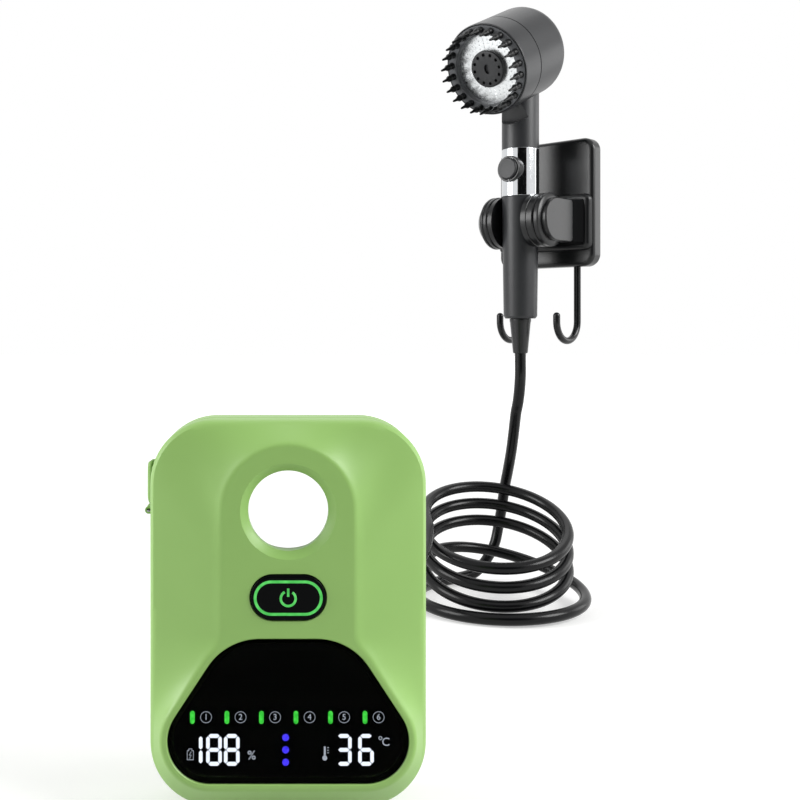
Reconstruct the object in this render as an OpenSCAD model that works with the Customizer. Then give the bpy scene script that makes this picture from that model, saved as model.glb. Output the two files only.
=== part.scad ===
// Portable camp shower: a rechargeable pump with a display, a coiled hose, and a
// brush-ring handset that sits in a tilting wall holder with two wire hooks.
// Millimetres. The origin is the middle of the pump's foot on the floor, +Z is up,
// and the pump's face looks along -Y.

/* [Pump body] */
// Width of the pump body across its face
body_w = 110; // [100:1:130]
// Height of the pump body above its foot
body_h = 154; // [148:1:176]
// Radius of the body's four corners, seen from the front
corner_r = 25.5; // [22:0.5:28]
// Depth from the joint between the shells to the raised front
front_d = 22; // [21:0.5:26]
// Depth from the joint between the shells to the rear face
rear_d = 24; // [23:0.5:28]
// Wall thickness of the two shells
wall = 2.2; // [1.8:0.1:2.6]
// Thickness of the raised front panel, which holds the display lens
panel_t = 4.4; // [3.8:0.1:5]
// Height of the rubber foot under the body
foot_h = 3; // [2:0.5:6]
// Radius of the carrying hole through the body
hole_r = 15.6; // [12:0.1:17]
// Half the width of the raised column round the hole
column_half = 26; // [25:0.5:30]
// Thickness of the gasket between the two shells
gasket_t = 0.8; // [0.4:0.1:1.4]

/* [Pump works] */
// Radius of one round cell
cell_r = 9.15; // [8.5:0.05:9.2]
// Length of one round cell
cell_len = 65; // [60:0.5:66]
// Radius of the motor can
motor_r = 12.3; // [10:0.1:13]
// Radius of the volute, outside
volute_r = 19; // [17:0.5:20]
// Travel of the power button
button_travel = 1; // [0.5:0.1:1.2]

/* [Hose] */
// Outside diameter of the hose
hose_d = 8; // [6:0.5:8]
// Mean radius of the stacked loops
coil_r = 49; // [44:0.5:52]
// Rise from one loop to the next
coil_pitch = 12.4; // [11:0.1:14]
// Mean radius of the loop that lies on the floor
floor_loop_r = 58; // [57:0.5:62]
// How far the stacked loops lean: rise of their back over their middle
coil_lean = 16; // [10:0.5:17]

/* [Handset] */
// Radius of the spray head
head_r = 32; // [30:0.5:38]
// Depth of the spray head, face to back
head_depth = 58; // [54:0.5:62]
// Angle by which the face looks down
head_tilt = 24.5; // [20:0.5:28]
// Radius of the grip at its top
grip_top_r = 13.1; // [12.9:0.1:13.4]
// Radius of the grip at its foot
grip_foot_r = 11.9; // [11:0.1:12.5]
// Number of soft bristles round the face
bristles = 22; // [14:1:24]
// Length of one bristle
bristle_len = 14; // [8:0.5:16]
// Travel of the stop button
stop_travel = 2.5; // [1:0.1:2.5]

/* [Wall holder] */
// Height of the socket's axis above the floor
axis_z = 269; // [262:1:276]
// Width of the wall plate
plate_w = 80; // [76:1:100]
// Height of the wall plate
plate_h = 93; // [80:1:110]
// Thickness of the wall plate
plate_t = 11; // [9:0.5:16]
// Radius of the tilting socket
socket_r = 19; // [17.5:0.5:21]
// Distance between the two wire hooks
hook_gap = 48; // [44:1:58]
// Wire diameter of the hooks
hook_d = 5; // [4:0.1:6]

/* [Hidden] */
$fn = 64;

// Heights and sides of the pump that everything else hangs on
base = foot_h;
top = foot_h + body_h;
right = body_w / 2;
face_y = -front_d;
rim_y = -10;
lens_low = [right - 24.8, base + 30.9, 16.4];
lens_high = [11, base + 46.3, 24];
lens_top = lens_high[1] + lens_high[2];
hole_z = top - 34.4;
button_z = (lens_top + hole_z - hole_r) / 2 - 0.65;
button_c = [[5.9, button_z, 8.9], [-5.9, button_z, 8.9]];
boss_x = right - corner_r + 13;
boss_z = [base + corner_r - 13, top - corner_r + 13];
bosses = [for (sx = [-1, 1]) for (z = boss_z) [sx * boss_x, z]];
inner_rear = rear_d - wall;
lens_seat = 2.2;
collar_y = face_y + panel_t + 1.1;
board_y = collar_y + 7.5;

// Outline round a ring of circles [x, z, r], listed anticlockwise, grown by g
function turn_to(a, b) = b >= a ? b : b + 360;
function side_angle(p, q, g) =
  let (d = [q[0] - p[0], q[1] - p[1]])
  atan2(d[1], d[0]) - acos((p[2] - q[2]) / norm(d));
function belt(cs, g = 0, steps = 8) =
  let (n = len(cs))
  [for (i = [0 : n - 1])
    let (a0 = side_angle(cs[(i + n - 1) % n], cs[i], g))
    let (a1 = turn_to(a0, side_angle(cs[i], cs[(i + 1) % n], g)))
    for (k = [0 : steps])
      let (a = a0 + (a1 - a0) * k / steps)
      [cs[i][0] + (cs[i][2] + g) * cos(a), cs[i][1] + (cs[i][2] + g) * sin(a)]];

body_c = [
  [right - corner_r, base + corner_r, corner_r],
  [right - corner_r, top - corner_r, corner_r],
  [corner_r - right, top - corner_r, corner_r],
  [corner_r - right, base + corner_r, corner_r]
];
lens_c = [
  lens_low,
  lens_high,
  [-lens_high[0], lens_high[1], lens_high[2]],
  [-lens_low[0], lens_low[1], lens_low[2]]
];
column_c = [[0, hole_z, column_half], [0, base + 62, column_half]];

// Outlines as distances along a fan of rays, so that two shapes can be joined level by level
fan_at = [0, base + 67];
fan = 64;
function cross2(a, b) = a[0] * b[1] - a[1] * b[0];
function reach(pts, a) =
  let (d = [cos(a), sin(a)])
  let (n = len(pts))
  max([for (i = [0 : n - 1])
    let (p = pts[i] - fan_at)
    let (e = pts[(i + 1) % n] - pts[i])
    let (k = cross2(d, e))
    if (abs(k) > 1e-9)
      let (t = cross2(p, e) / k)
      let (s = cross2(p, d) / k)
      if (t > 0 && s >= -1e-6 && s <= 1 + 1e-6) t]);
function fan_point(a, r) = [fan_at[0] + r * cos(a), fan_at[1] + r * sin(a)];
function body_ring(g) =
  let (o = belt(body_c, g))
  [for (k = [0 : fan - 1]) fan_point(360 * k / fan, reach(o, 360 * k / fan))];
function raised_ring(g) =
  let (c = belt(column_c, g))
  let (l = belt(lens_c, g + 2.4))
  [for (k = [0 : fan - 1])
    let (a = 360 * k / fan)
    fan_point(a, pow(pow(reach(c, a), 12) + pow(reach(l, a), 12), 1 / 12))];

// Solid through rings at rising y, each ring anticlockwise seen from the front
module loft(levels) {
  n = len(levels[0][1]);
  m = len(levels);
  polyhedron(
    points = [for (l = levels) for (p = l[1]) [p[0], l[0], p[1]]],
    faces = concat(
      [[for (j = [0 : n - 1]) n - 1 - j]],
      [[for (j = [0 : n - 1]) (m - 1) * n + j]],
      [for (i = [0 : m - 2]) for (j = [0 : n - 1])
        [i * n + j, i * n + (j + 1) % n, (i + 1) * n + (j + 1) % n]],
      [for (i = [0 : m - 2]) for (j = [0 : n - 1])
        [i * n + j, (i + 1) * n + (j + 1) % n, (i + 1) * n + j]]
    )
  );
}

// A flat shape in x and z, given depth from y0 to y1
module slab(y0, y1) {
  translate([0, y1, 0]) rotate([90, 0, 0]) linear_extrude(height = y1 - y0) children();
}
module rod(x, z, y0, y1, r) {
  translate([x, y1, z]) rotate([90, 0, 0]) cylinder(r = r, h = y1 - y0);
}
module ring2(outer, inner) {
  difference() {
    polygon(outer);
    polygon(inner);
  }
}
module pill(g) {
  polygon(belt(button_c, g));
}

// The carrying hole: straight behind its front chamfer, then widening towards the rear
straight_y = face_y + 6;
function bore_r(y) = hole_r + max(0, y - straight_y) * 0.2;
module hole_plug(g, y0, y1) {
  translate([0, 0, hole_z]) rotate([-90, 0, 0]) rotate_extrude()
    polygon([[0, y0], [hole_r + g, y0], [hole_r + g, straight_y], [bore_r(y1) + g, y1], [0, y1]]);
}

// The front's outside and then its inside, as one closed skin
module front_skin() {
  loft([
    [face_y, raised_ring(0)],
    [face_y + 0.8, raised_ring(0.8)],
    [rim_y - 1.4, body_ring(-1.6)],
    [rim_y + 0.4, body_ring(-0.4)],
    [rim_y + 2, body_ring(0)],
    [-gasket_t / 2, body_ring(0)],
    [-gasket_t / 2, body_ring(-wall)],
    [rim_y + 2, body_ring(-wall)],
    [rim_y + 0.6, body_ring(-wall - 1.2)],
    [face_y + panel_t, raised_ring(-1.3)]
  ]);
}
module front_shell() {
  color("#97c474")
  difference() {
    union() {
      front_skin();
      hole_plug(wall, face_y + 1.2, -gasket_t / 2);
      slab(face_y + 1.4, collar_y) pill(2.6);
      for (s = [-1, 1]) {
        rod(s * boss_x, boss_z[0], rim_y - 2.6, -gasket_t / 2, 3.5);
        rod(s * boss_x, boss_z[1], rim_y - 1.2, -gasket_t / 2, 3.5);
        rod(s * 22, hole_z - hole_r - 7.5, face_y + 1.5, board_y, 2.4);
      }
    }
    hole_plug(0, face_y - 1, 1);
    translate([0, face_y + 2, hole_z]) rotate([90, 0, 0]) cylinder(r1 = hole_r, r2 = hole_r + 3.2, h = 2.6);
    slab(face_y - 1, face_y + lens_seat) polygon(belt(lens_c, 0.15));
    slab(face_y - 1, collar_y + 1) polygon(belt(lens_c, -2));
    slab(face_y - 1, collar_y + 1) pill(0.35);
    for (b = bosses) rod(b[0], b[1], -9.4, 1, 1.45);
  }
}

port_z = top - 27;
port_y = 6.5;
pin_x = -right - 1.9;
pin_z = port_z - 10.8;
pump_x = right - 28;
pump_z = base + 39;
spout_x = pump_x + 11.5;
spout_z = pump_z + 26;
probe_x = 5;
probe_z = base + 13;

module rear_outer() {
  loft([
    [gasket_t / 2, belt(body_c, 0)],
    [rear_d - 11, belt(body_c, 0)],
    [rear_d - 7, belt(body_c, -0.9)],
    [rear_d - 3.5, belt(body_c, -3)],
    [rear_d - 1, belt(body_c, -6.5)],
    [rear_d, belt(body_c, -10.5)]
  ]);
}
module rear_inner() {
  loft([
    [-1, belt(body_c, -wall)],
    [rear_d - 11, belt(body_c, -wall)],
    [rear_d - 6.5, belt(body_c, -wall - 1.5)],
    [rear_d - 3.7, belt(body_c, -wall - 4.5)],
    [inner_rear, belt(body_c, -wall - 9)]
  ]);
}
module hole_sleeve(g, y0, y1) {
  translate([0, 0, hole_z]) rotate([-90, 0, 0]) rotate_extrude()
    polygon([[0, y0], [bore_r(y0) + g, y0], [bore_r(rear_d - 6) + g, rear_d - 6],
      [bore_r(rear_d) + g + 0.6, rear_d - 2.6], [bore_r(rear_d) + g + 2.6, rear_d],
      [bore_r(rear_d) + g + 2.6, y1], [0, y1]]);
}
module rear_shell() {
  color("#97c474")
  difference() {
    union() {
      difference() {
        rear_outer();
        rear_inner();
      }
      intersection() {
        hole_sleeve(wall, gasket_t / 2, rear_d + 1);
        rear_outer();
      }
      for (b = bosses) rod(b[0], b[1], gasket_t / 2, rear_d - 4, 4.2);
      translate([-right - 0.05, 1.2, port_z - 10]) cube([4.25, 10.6, 20]);
      for (y = [0.9, 10.3]) {
        translate([pin_x, y, pin_z]) rotate([-90, 0, 0]) cylinder(r = 1.5, h = 1.8);
        translate([pin_x, y, pin_z - 1.5]) cube([1 - right - pin_x, 1.8, 3]);
      }
    }
    hole_sleeve(0, -1, rear_d + 1);
    for (b = bosses) {
      rod(b[0], b[1], -1, rear_d, 1.45);
      rod(b[0], b[1], rear_d - 10, rear_d + 2, 3.2);
    }
    rod(pump_x, pump_z, rear_d - 4, rear_d + 1, 8.9);
    rod(spout_x, spout_z, rear_d - 4, rear_d + 1, 6.5);
    rod(probe_x, probe_z, rear_d - 4, rear_d + 1, 2.05);
    translate([-right - 2, port_y - 2.2, port_z - 5]) cube([7, 4.4, 10]);
    translate([pin_x, 0, pin_z]) rotate([-90, 0, 0]) cylinder(r = 0.8, h = 13);
  }
}
module shell_gasket() {
  color("#2f3331")
  slab(-gasket_t / 2, gasket_t / 2) {
    ring2(belt(body_c, -0.35), belt(body_c, -wall));
    translate([0, hole_z]) difference() {
      circle(r = bore_r(0) + wall - 0.2);
      circle(r = bore_r(0) + 0.3);
    }
  }
}
module base_foot() {
  color("#303432")
  translate([0, 0, 0]) linear_extrude(height = foot_h) difference() {
    polygon(belt([[24, -3, 4], [24, 8, 4], [-24, 8, 4], [-24, -3, 4]]));
    for (s = [-1, 1]) translate([s * 14, 2.5]) circle(r = 2.5);
  }
}
module case_screws() {
  color("#b8bcc0")
  for (b = bosses) difference() {
    union() {
      rod(b[0], b[1], -8.4, rear_d - 9.9, 1.4);
      rod(b[0], b[1], rear_d - 10, rear_d - 7.6, 2.8);
    }
    rod(b[0], b[1], rear_d - 9, rear_d - 7, 1.2, $fn = 6);
  }
}

// Display stack behind the front
panel_y = face_y + lens_seat + 0.6;
module display_lens() {
  color("#101214")
  slab(face_y + 0.2, face_y + lens_seat) polygon(belt(lens_c, 0));
}
module led_panel() {
  color("#23272a")
  slab(panel_y, panel_y + 1.6) polygon(belt(lens_c, -2.6));
}
module on_panel() {
  slab(panel_y - 0.5, panel_y) children();
}
module bar(x, z, w, h) {
  translate([x - w / 2, z - h / 2]) square([w, h]);
}
// One seven-part digit: middle x and z, and which of a to g are lit
module digit(x, z, lit) {
  spots = [[0, 5.6, 4, 1], [2.7, 2.9, 1, 4.4], [2.7, -2.9, 1, 4.4], [0, -5.6, 4, 1],
    [-2.7, -2.9, 1, 4.4], [-2.7, 2.9, 1, 4.4], [0, 0, 4, 1]];
  for (i = lit) bar(x + spots[i][0], z + spots[i][1], spots[i][2], spots[i][3]);
}
// Rows of the display, set out from the lens's lower corners
row_z = base + 26.8;
bar_z = base + 39.4;
bar_half = lens_low[0] + 7;
bar_step = (2 * bar_half - 7.4) / 5;
percent_x = -lens_low[0];
degree_x = lens_low[0];
module digit_segments() {
  color("#f4f7fa")
  on_panel() {
    digit(percent_x - 6.7, row_z, [1, 2]);
    digit(percent_x + 1.4, row_z, [0, 1, 2, 3, 4, 5, 6]);
    digit(percent_x + 8.3, row_z, [0, 1, 2, 3, 4, 5, 6]);
    digit(degree_x - 7.9, row_z, [0, 1, 2, 3, 6]);
    digit(degree_x - 0.1, row_z, [0, 2, 3, 4, 5, 6]);
  }
}
module level_bars() {
  color("#46d84a")
  on_panel() for (i = [0 : 5]) bar(bar_step * i - bar_half, bar_z, 2.1, 5);
}
module flow_dots() {
  color("#4a46ff")
  on_panel() for (i = [-1 : 1]) translate([-1, row_z + 4.8 * i]) circle(r = 1.3);
}
module display_board() {
  color("#1f5a3a")
  slab(panel_y + 1.6, panel_y + 3.2) polygon(belt(lens_c, -2.6));
}

// Power button, moving inward
module button_mark() {
  ring2(belt(button_c, -1.6), belt(button_c, -2.8));
  translate([0, button_z]) {
    difference() {
      circle(r = 3.8);
      circle(r = 2.8);
      translate([-1.5, 0]) square([3, 5]);
    }
    translate([-0.5, 0.6]) square([1, 3.6]);
  }
}
module power_button() {
  color("#15171a")
  difference() {
    union() {
      slab(face_y - 0.7, collar_y + 0.3) pill(0);
      slab(collar_y + 0.2, collar_y + 1.4) pill(1.6);
      rod(0, button_z, collar_y + 1.3, collar_y + 3.9, 3);
    }
    slab(face_y - 2, face_y - 0.4) button_mark();
  }
}
module button_light() {
  color("#5af06a")
  slab(face_y - 0.75, face_y - 0.4) button_mark();
}
module button_switch() {
  color("#3a3d40")
  union() {
    translate([-3, collar_y + 4.4 + button_travel, button_z - 3]) cube([6, 3.1 - button_travel, 6]);
    rod(0, button_z, collar_y + 4.2 + button_travel, collar_y + 5 + button_travel, 1.7);
  }
}
module control_board() {
  color("#1f5a3a")
  union() {
    translate([-28, board_y, lens_top + 5]) cube([56, 1.6, hole_z - hole_r - wall - lens_top - 7.5]);
    translate([-20, board_y + 1.5, button_z - 4]) cube([9, 1.4, 9]);
    translate([8, board_y + 1.5, button_z - 5]) cube([12, 3.4, 10]);
  }
}

// Cells and their cradle on the left
cell_x = [-right + 18.2, -right + 37.8];
cell_y = 6;
cell_z = base + 20;
module battery_cells() {
  color("#3f6fb0")
  for (x = cell_x) translate([x, cell_y, cell_z]) {
    cylinder(r = cell_r, h = cell_len - 1.4);
    translate([0, 0, cell_len - 1.5]) cylinder(r = 3.2, h = 1.5);
  }
}
module battery_cradle() {
  color("#4b4f52")
  union() {
    translate([cell_x[0] - 9.6, cell_y + 9.4, cell_z - 2.8])
      cube([cell_x[1] - cell_x[0] + 19.2, 2, cell_len + 5.6]);
    for (z = [cell_z - 2.8, cell_z + cell_len + 0.2])
      translate([cell_x[0] - 9.6, cell_y - 6, z]) cube([cell_x[1] - cell_x[0] + 19.2, 17.4, 2.6]);
    for (x = cell_x) for (z = [cell_z + 14, cell_z + 50]) rod(x, z, cell_y + 11, inner_rear, 3);
  }
}

// Motor, volute and water path on the right
volute_y = rear_d - 16;
module motor_can() {
  color("#a9adb2")
  difference() {
    union() {
      rod(pump_x, pump_z, face_y + 8.5, volute_y, motor_r);
      rod(pump_x, pump_z, face_y + 7.4, face_y + 8.6, 4);
    }
    rod(pump_x, pump_z, face_y + 9.5, volute_y + 1, 1.55);
  }
}
module motor_shaft() {
  color("#c9cdd2")
  rod(pump_x, pump_z, face_y + 10, volute_y + 7, 1.5);
}
module impeller() {
  color("#e4e7ea")
  difference() {
    union() {
      rod(pump_x, pump_z, volute_y + 2.3, volute_y + 8.8, 3.6);
      rod(pump_x, pump_z, volute_y + 2.3, volute_y + 3.5, volute_r - 4);
      for (i = [0 : 5])
        translate([pump_x, volute_y + 3.4, pump_z]) rotate([0, 60 * i, 0])
          translate([-0.7, 0, 3]) cube([1.4, 5, volute_r - 7.6]);
    }
    rod(pump_x, pump_z, volute_y, volute_y + 12, 1.5);
  }
}
module pump_volute() {
  color("#3c4145")
  difference() {
    union() {
      rod(pump_x, pump_z, volute_y, volute_y + 10, volute_r);
      translate([spout_x, volute_y + 5.4, pump_z]) cylinder(r = 4.2, h = spout_z - pump_z + 5);
      rod(spout_x, spout_z, volute_y + 1, inner_rear - 0.1, 6.4);
    }
    rod(pump_x, pump_z, volute_y + 1.6, volute_y + 11, volute_r - 2.5);
    rod(pump_x, pump_z, volute_y - 1, volute_y + 3, 4);
    translate([spout_x, volute_y + 5.4, pump_z]) cylinder(r = 3.2, h = spout_z - pump_z);
    rod(spout_x, spout_z, volute_y + 5.6, inner_rear + 1, 3.4);
  }
}
module shaft_seal() {
  color("#1b1d1f")
  difference() {
    rod(pump_x, pump_z, volute_y, volute_y + 1.6, 4);
    rod(pump_x, pump_z, volute_y - 1, volute_y + 3, 1.55);
  }
}
module volute_cover() {
  color("#4d5256")
  difference() {
    union() {
      rod(pump_x, pump_z, volute_y + 10, volute_y + 11.6, volute_r);
      rod(pump_x, pump_z, volute_y + 11.5, rear_d - 0.4, 8.8);
    }
    rod(pump_x, pump_z, volute_y + 9, rear_d, 7);
  }
}
module intake_filter() {
  color("#d8dbde")
  difference() {
    rod(pump_x, pump_z, rear_d - 3.4, rear_d - 2, 7);
    for (x = [-4.5, -1.5, 1.5, 4.5]) for (z = [-4.5, -1.5, 1.5, 4.5])
      if (norm([x, z]) < 5.5) rod(pump_x + x, pump_z + z, rear_d - 4, rear_d, 1);
  }
}
module intake_grille() {
  color("#7ea65f")
  difference() {
    rod(pump_x, pump_z, rear_d, rear_d + 2.4, 13);
    for (i = [-2 : 2])
      translate([pump_x - 7 + 0.9 * abs(i), rear_d - 1, pump_z + 3.2 * i - 0.9])
        cube([14 - 1.8 * abs(i), 5, 1.8]);
  }
}
module outlet_spigot() {
  color("#c9cdd2")
  difference() {
    union() {
      rod(spout_x, spout_z, inner_rear - 0.1, rear_d + 10, 6.4);
      rod(spout_x, spout_z, rear_d + 0.8, rear_d + 3, 9, $fn = 6);
    }
    rod(spout_x, spout_z, inner_rear - 1, rear_d + 11, 3);
  }
}
module outlet_washer() {
  color("#1b1d1f")
  difference() {
    rod(spout_x, spout_z, rear_d, rear_d + 0.8, 9);
    rod(spout_x, spout_z, rear_d - 1, rear_d + 2, 6.5);
  }
}
nut_y = rear_d + 3.2;
hose_r = hose_d / 2;
module pump_hose_nut() {
  color("#25282b")
  difference() {
    union() {
      rod(spout_x, spout_z, nut_y, nut_y + 10, 8.4);
      translate([spout_x, nut_y + 10, spout_z]) rotate([-90, 0, 0])
        cylinder(r1 = 7.6, r2 = hose_r + 1.6, h = 8);
      for (i = [0 : 11])
        translate([spout_x, nut_y + 1.5, spout_z]) rotate([0, 30 * i, 0])
          translate([-0.8, 0, 7.8]) cube([1.6, 7, 1.2]);
    }
    rod(spout_x, spout_z, nut_y - 1, nut_y + 7, 6.5);
    rod(spout_x, spout_z, nut_y + 6, nut_y + 20, hose_r + 0.1);
  }
}
module temperature_probe() {
  color("#c9cdd2")
  union() {
    rod(probe_x, probe_z, inner_rear - 6, rear_d + 1, 2);
    translate([probe_x, rear_d + 1, probe_z]) sphere(r = 2);
    rod(probe_x, probe_z, inner_rear - 8, inner_rear - 0.2, 3);
  }
}

// Charging port under a hinged cover on the left
module charge_socket() {
  color("#b9bdc2")
  difference() {
    translate([-right + 4.3, port_y - 1.65, port_z - 4.5]) cube([7.4, 3.3, 9]);
    translate([-right + 4, port_y - 1.25, port_z - 4.1]) cube([6.4, 2.5, 8.2]);
  }
}
module charge_board() {
  color("#1f5a3a")
  translate([-right + 4.3, port_y + 1.65, port_z - 9]) cube([22, 1.6, 18]);
}
module port_cover() {
  color("#8ab868")
  difference() {
    union() {
      translate([-right - 1.6, 1.8, port_z - 9]) cube([1.2, 9.4, 18]);
      translate([-right - 0.5, port_y - 1.7, port_z - 4.4]) cube([2.1, 3.4, 8.8]);
      translate([pin_x, 3, pin_z]) rotate([-90, 0, 0]) cylinder(r = 1.5, h = 7);
      translate([-right - 1.6, 3, pin_z]) cube([1.2, 7, 2.5]);
    }
    translate([pin_x, 0, pin_z]) rotate([-90, 0, 0]) cylinder(r = 0.85, h = 13);
  }
}
module port_pin() {
  color("#c9cdd2")
  translate([pin_x, 0.9, pin_z]) rotate([-90, 0, 0]) cylinder(r = 0.8, h = 11.2);
}

// A tube swept through points; ref is any direction that the tube never follows
function unit(v) = v / norm(v);
function heading(p, i) =
  let (n = len(p))
  unit(i == 0 ? p[1] - p[0] : i == n - 1 ? p[n - 1] - p[n - 2] : p[i + 1] - p[i - 1]);
module tube(p, r, sides, ref) {
  n = len(p);
  polyhedron(
    points = [for (i = [0 : n - 1])
      let (t = heading(p, i))
      let (a = unit(cross(t, ref)))
      let (b = cross(a, t))
      for (k = [0 : sides - 1]) p[i] + r * (cos(360 * k / sides) * b + sin(360 * k / sides) * a)],
    faces = concat(
      [[for (k = [0 : sides - 1]) k]],
      [[for (k = [0 : sides - 1]) n * sides - 1 - k]],
      [for (i = [0 : n - 2]) for (k = [0 : sides - 1])
        [i * sides + k, (i + 1) * sides + k, (i + 1) * sides + (k + 1) % sides]],
      [for (i = [0 : n - 2]) for (k = [0 : sides - 1])
        [i * sides + k, (i + 1) * sides + (k + 1) % sides, i * sides + (k + 1) % sides]]
    )
  );
}
// Smooth curve through points, n pieces between each two
function curve(p, n) =
  let (m = len(p))
  concat(
    [for (i = [0 : m - 2]) for (k = [0 : n - 1])
      let (a = i == 0 ? 2 * p[0] - p[1] : p[i - 1])
      let (d = i == m - 2 ? 2 * p[m - 1] - p[m - 2] : p[i + 2])
      let (b = p[i])
      let (c = p[i + 1])
      let (u = k / n)
      0.5 * (2 * b + (c - a) * u + (2 * a - 5 * b + 4 * c - d) * u * u
        + (3 * b - a - 3 * c + d) * u * u * u)],
    [p[m - 1]]
  );

// The coil climbs anticlockwise from the floor loop at the back to its top on the left
coil_x = 145;
coil_y = 305;
coil_from = 124;
coil_turns = 4 + 56 / 360;
function ease(t) = let (u = min(1, max(0, t))) u * u * (3 - 2 * u);
function coil_at(s) =
  let (e = ease((s - 0.45) / 0.8))
  let (r = floor_loop_r + (coil_r - floor_loop_r) * e)
  let (a = coil_from + 360 * s)
  let (lift = s < 0.25 ? 0 : s < 0.45 ? coil_pitch * pow(s - 0.25, 2) / 0.4 : coil_pitch * (s - 0.35))
  let (lean = coil_lean * e * (0.6 + sin(a)))
  [coil_x + 4 - 4 * e + r * cos(a), coil_y + r * sin(a), hose_r + lift + lean];
coil_step = 1 / 24;
coil_mid = [for (s = [0 : coil_step : coil_turns - 0.02]) coil_at(s)];
coil_start = coil_at(0);
coil_end = coil_at(coil_turns);
start_dir = [sin(coil_from), -cos(coil_from), 0];
end_dir = [0, -coil_r, 2 - coil_lean] / norm([coil_r, 2 - coil_lean]);
coil_path = concat([coil_start + hose_d * start_dir], coil_mid, [coil_end], [coil_end + hose_d * end_dir]);
coil_gap = min([for (i = [0 : len(coil_path) - 1]) for (j = [i + 12 : len(coil_path) - 1])
  if (j < len(coil_path)) norm(coil_path[i] - coil_path[j])]) - hose_d;
echo(coil_least_gap = coil_gap);

hold_x = 168;
hold_y = 330;
hold_turn = 46;
tail_path = concat(
  [[spout_x, nut_y + 8, spout_z]],
  curve([[spout_x, nut_y + 22, spout_z - 0.4], [40, 80, 63], [45, 116, 54], [54, 153, 46.5], [65, 190, 42.5],
    [78, 226, 42.5], [90, 262, 47], coil_end + 2 * hose_d * end_dir], 2),
  [coil_end + hose_d * end_dir]
);
rise_foot = coil_path[0];
rise_path = concat(
  [rise_foot, rise_foot + hose_r * start_dir],
  [[141, 366, 6.5], [151, 372.5, 14.5], [158.5, 377, 26], [162, 378.5, 40], [164, 376, 55], [165, 371, 70],
    [166, 363, 85], [166.5, 354, 100], [166.5, 345.5, 115], [166.5, 338.5, 129], [166.9, 336.3, 134]]
);
lead_path = [
  [166.9, 336.3, 134], [167.3, 334.1, 139], [167.7, 331.5, 147.5],
  [hold_x, hold_y, 158], [hold_x, hold_y, 170], [hold_x, hold_y, 181]
];
rise_side = [start_dir[1], -start_dir[0], 0];
module hose_tail() {
  color("#17191b") tube(tail_path, hose_r, 8, [0, 0, 1]);
}
module hose_coil() {
  color("#17191b") tube(coil_path, hose_r, 6, [0, 0, 1]);
}
module hose_rise() {
  color("#17191b") tube(rise_path, hose_r, 8, rise_side);
}
module hose_lead() {
  color("#17191b") tube(lead_path, hose_r, 8, rise_side);
}

// Handset and holder share one frame: the grip's axis, with the wall behind at +y
module at_holder() {
  translate([hold_x, hold_y, 0]) rotate([0, 0, -hold_turn]) children();
}
grip_z0 = axis_z - 70;
grip_z1 = axis_z + 18;
band_z1 = grip_z1 + 34;
stop_z = grip_z1 + 19;
nut_z = grip_z0 - 25;
socket_depth = 8;
washer_z = grip_z0 + 9;
tube_z = washer_z + 1;
valve_z = grip_z1 + 3;
water_r = 3.2;
function grip_r(z) = grip_foot_r + (grip_top_r - grip_foot_r) * (z - grip_z0) / (grip_z1 - grip_z0);
module handset_nut() {
  color("#25282b")
  at_holder() difference() {
    union() {
      translate([0, 0, nut_z]) cylinder(r1 = hose_r + 1.1, r2 = 7.6, h = grip_z0 - nut_z);
      translate([0, 0, grip_z0 - 1]) cylinder(r = 6.5, h = washer_z - grip_z0 + 1);
    }
    translate([0, 0, nut_z - 1]) cylinder(r = hose_r + 0.1, h = socket_depth + 1);
    translate([0, 0, nut_z + 3]) cylinder(r = 3, h = 40);
  }
}
module handset_washer() {
  color("#1b1d1f")
  at_holder() translate([0, 0, washer_z]) difference() {
    cylinder(r = 6.5, h = 1);
    translate([0, 0, -1]) cylinder(r = water_r, h = 3);
  }
}
module handset_grip() {
  color("#3a3d40")
  at_holder() rotate_extrude()
    polygon([[6.6, grip_z0 + 0.1], [grip_foot_r - 1.2, grip_z0 + 0.1], [grip_foot_r, grip_z0 + 2],
      [grip_top_r, grip_z1], [grip_top_r - 3, grip_z1],
      [grip_foot_r - 3, grip_z0 + 12], [6.6, grip_z0 + 10]]);
}
module water_tube() {
  color("#cfd6da")
  at_holder() translate([0, 0, tube_z]) difference() {
    cylinder(r = water_r + 1.4, h = valve_z - tube_z);
    translate([0, 0, -1]) cylinder(r = water_r, h = valve_z - tube_z + 2);
  }
}
module handle_band() {
  color("#b6babf")
  at_holder() difference() {
    union() {
      translate([0, 0, grip_z1]) cylinder(r = 13.3, h = band_z1 - grip_z1);
      rod(0, stop_z, -15.4, -8, 9.6);
    }
    translate([0, 0, grip_z1 - 1]) cylinder(r = 11, h = band_z1 - grip_z1 + 2);
    rod(0, stop_z, -17, -5, 8);
  }
}
module valve_body() {
  color("#e4e7ea")
  at_holder() difference() {
    translate([0, 0, valve_z]) cylinder(r = 10.9, h = 29);
    translate([-12, -14, valve_z - 1]) cube([24, 4.6, 32]);
    translate([0, 0, valve_z - 1]) cylinder(r = water_r, h = 32);
    rod(0, stop_z, -11, 6, 5);
  }
}
module valve_spring() {
  color("#c9cdd2")
  at_holder() translate([0, 0, stop_z])
    tube([for (s = [0 : 1 / 14 : 4]) [3.7 * cos(360 * s), 0.2 + 1.25 * s, 3.7 * sin(360 * s)]],
      0.45, 6, [0, 1, 0]);
}
module stop_button() {
  color("#2b2e31")
  at_holder() union() {
    translate([0, -17.4, stop_z]) rotate([-90, 0, 0]) cylinder(r1 = 6.6, r2 = 7.7, h = 1.2);
    rod(0, stop_z, -16.2, -12.4, 7.7);
    rod(0, stop_z, -12.5, -0.6, 4.9);
  }
}

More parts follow.
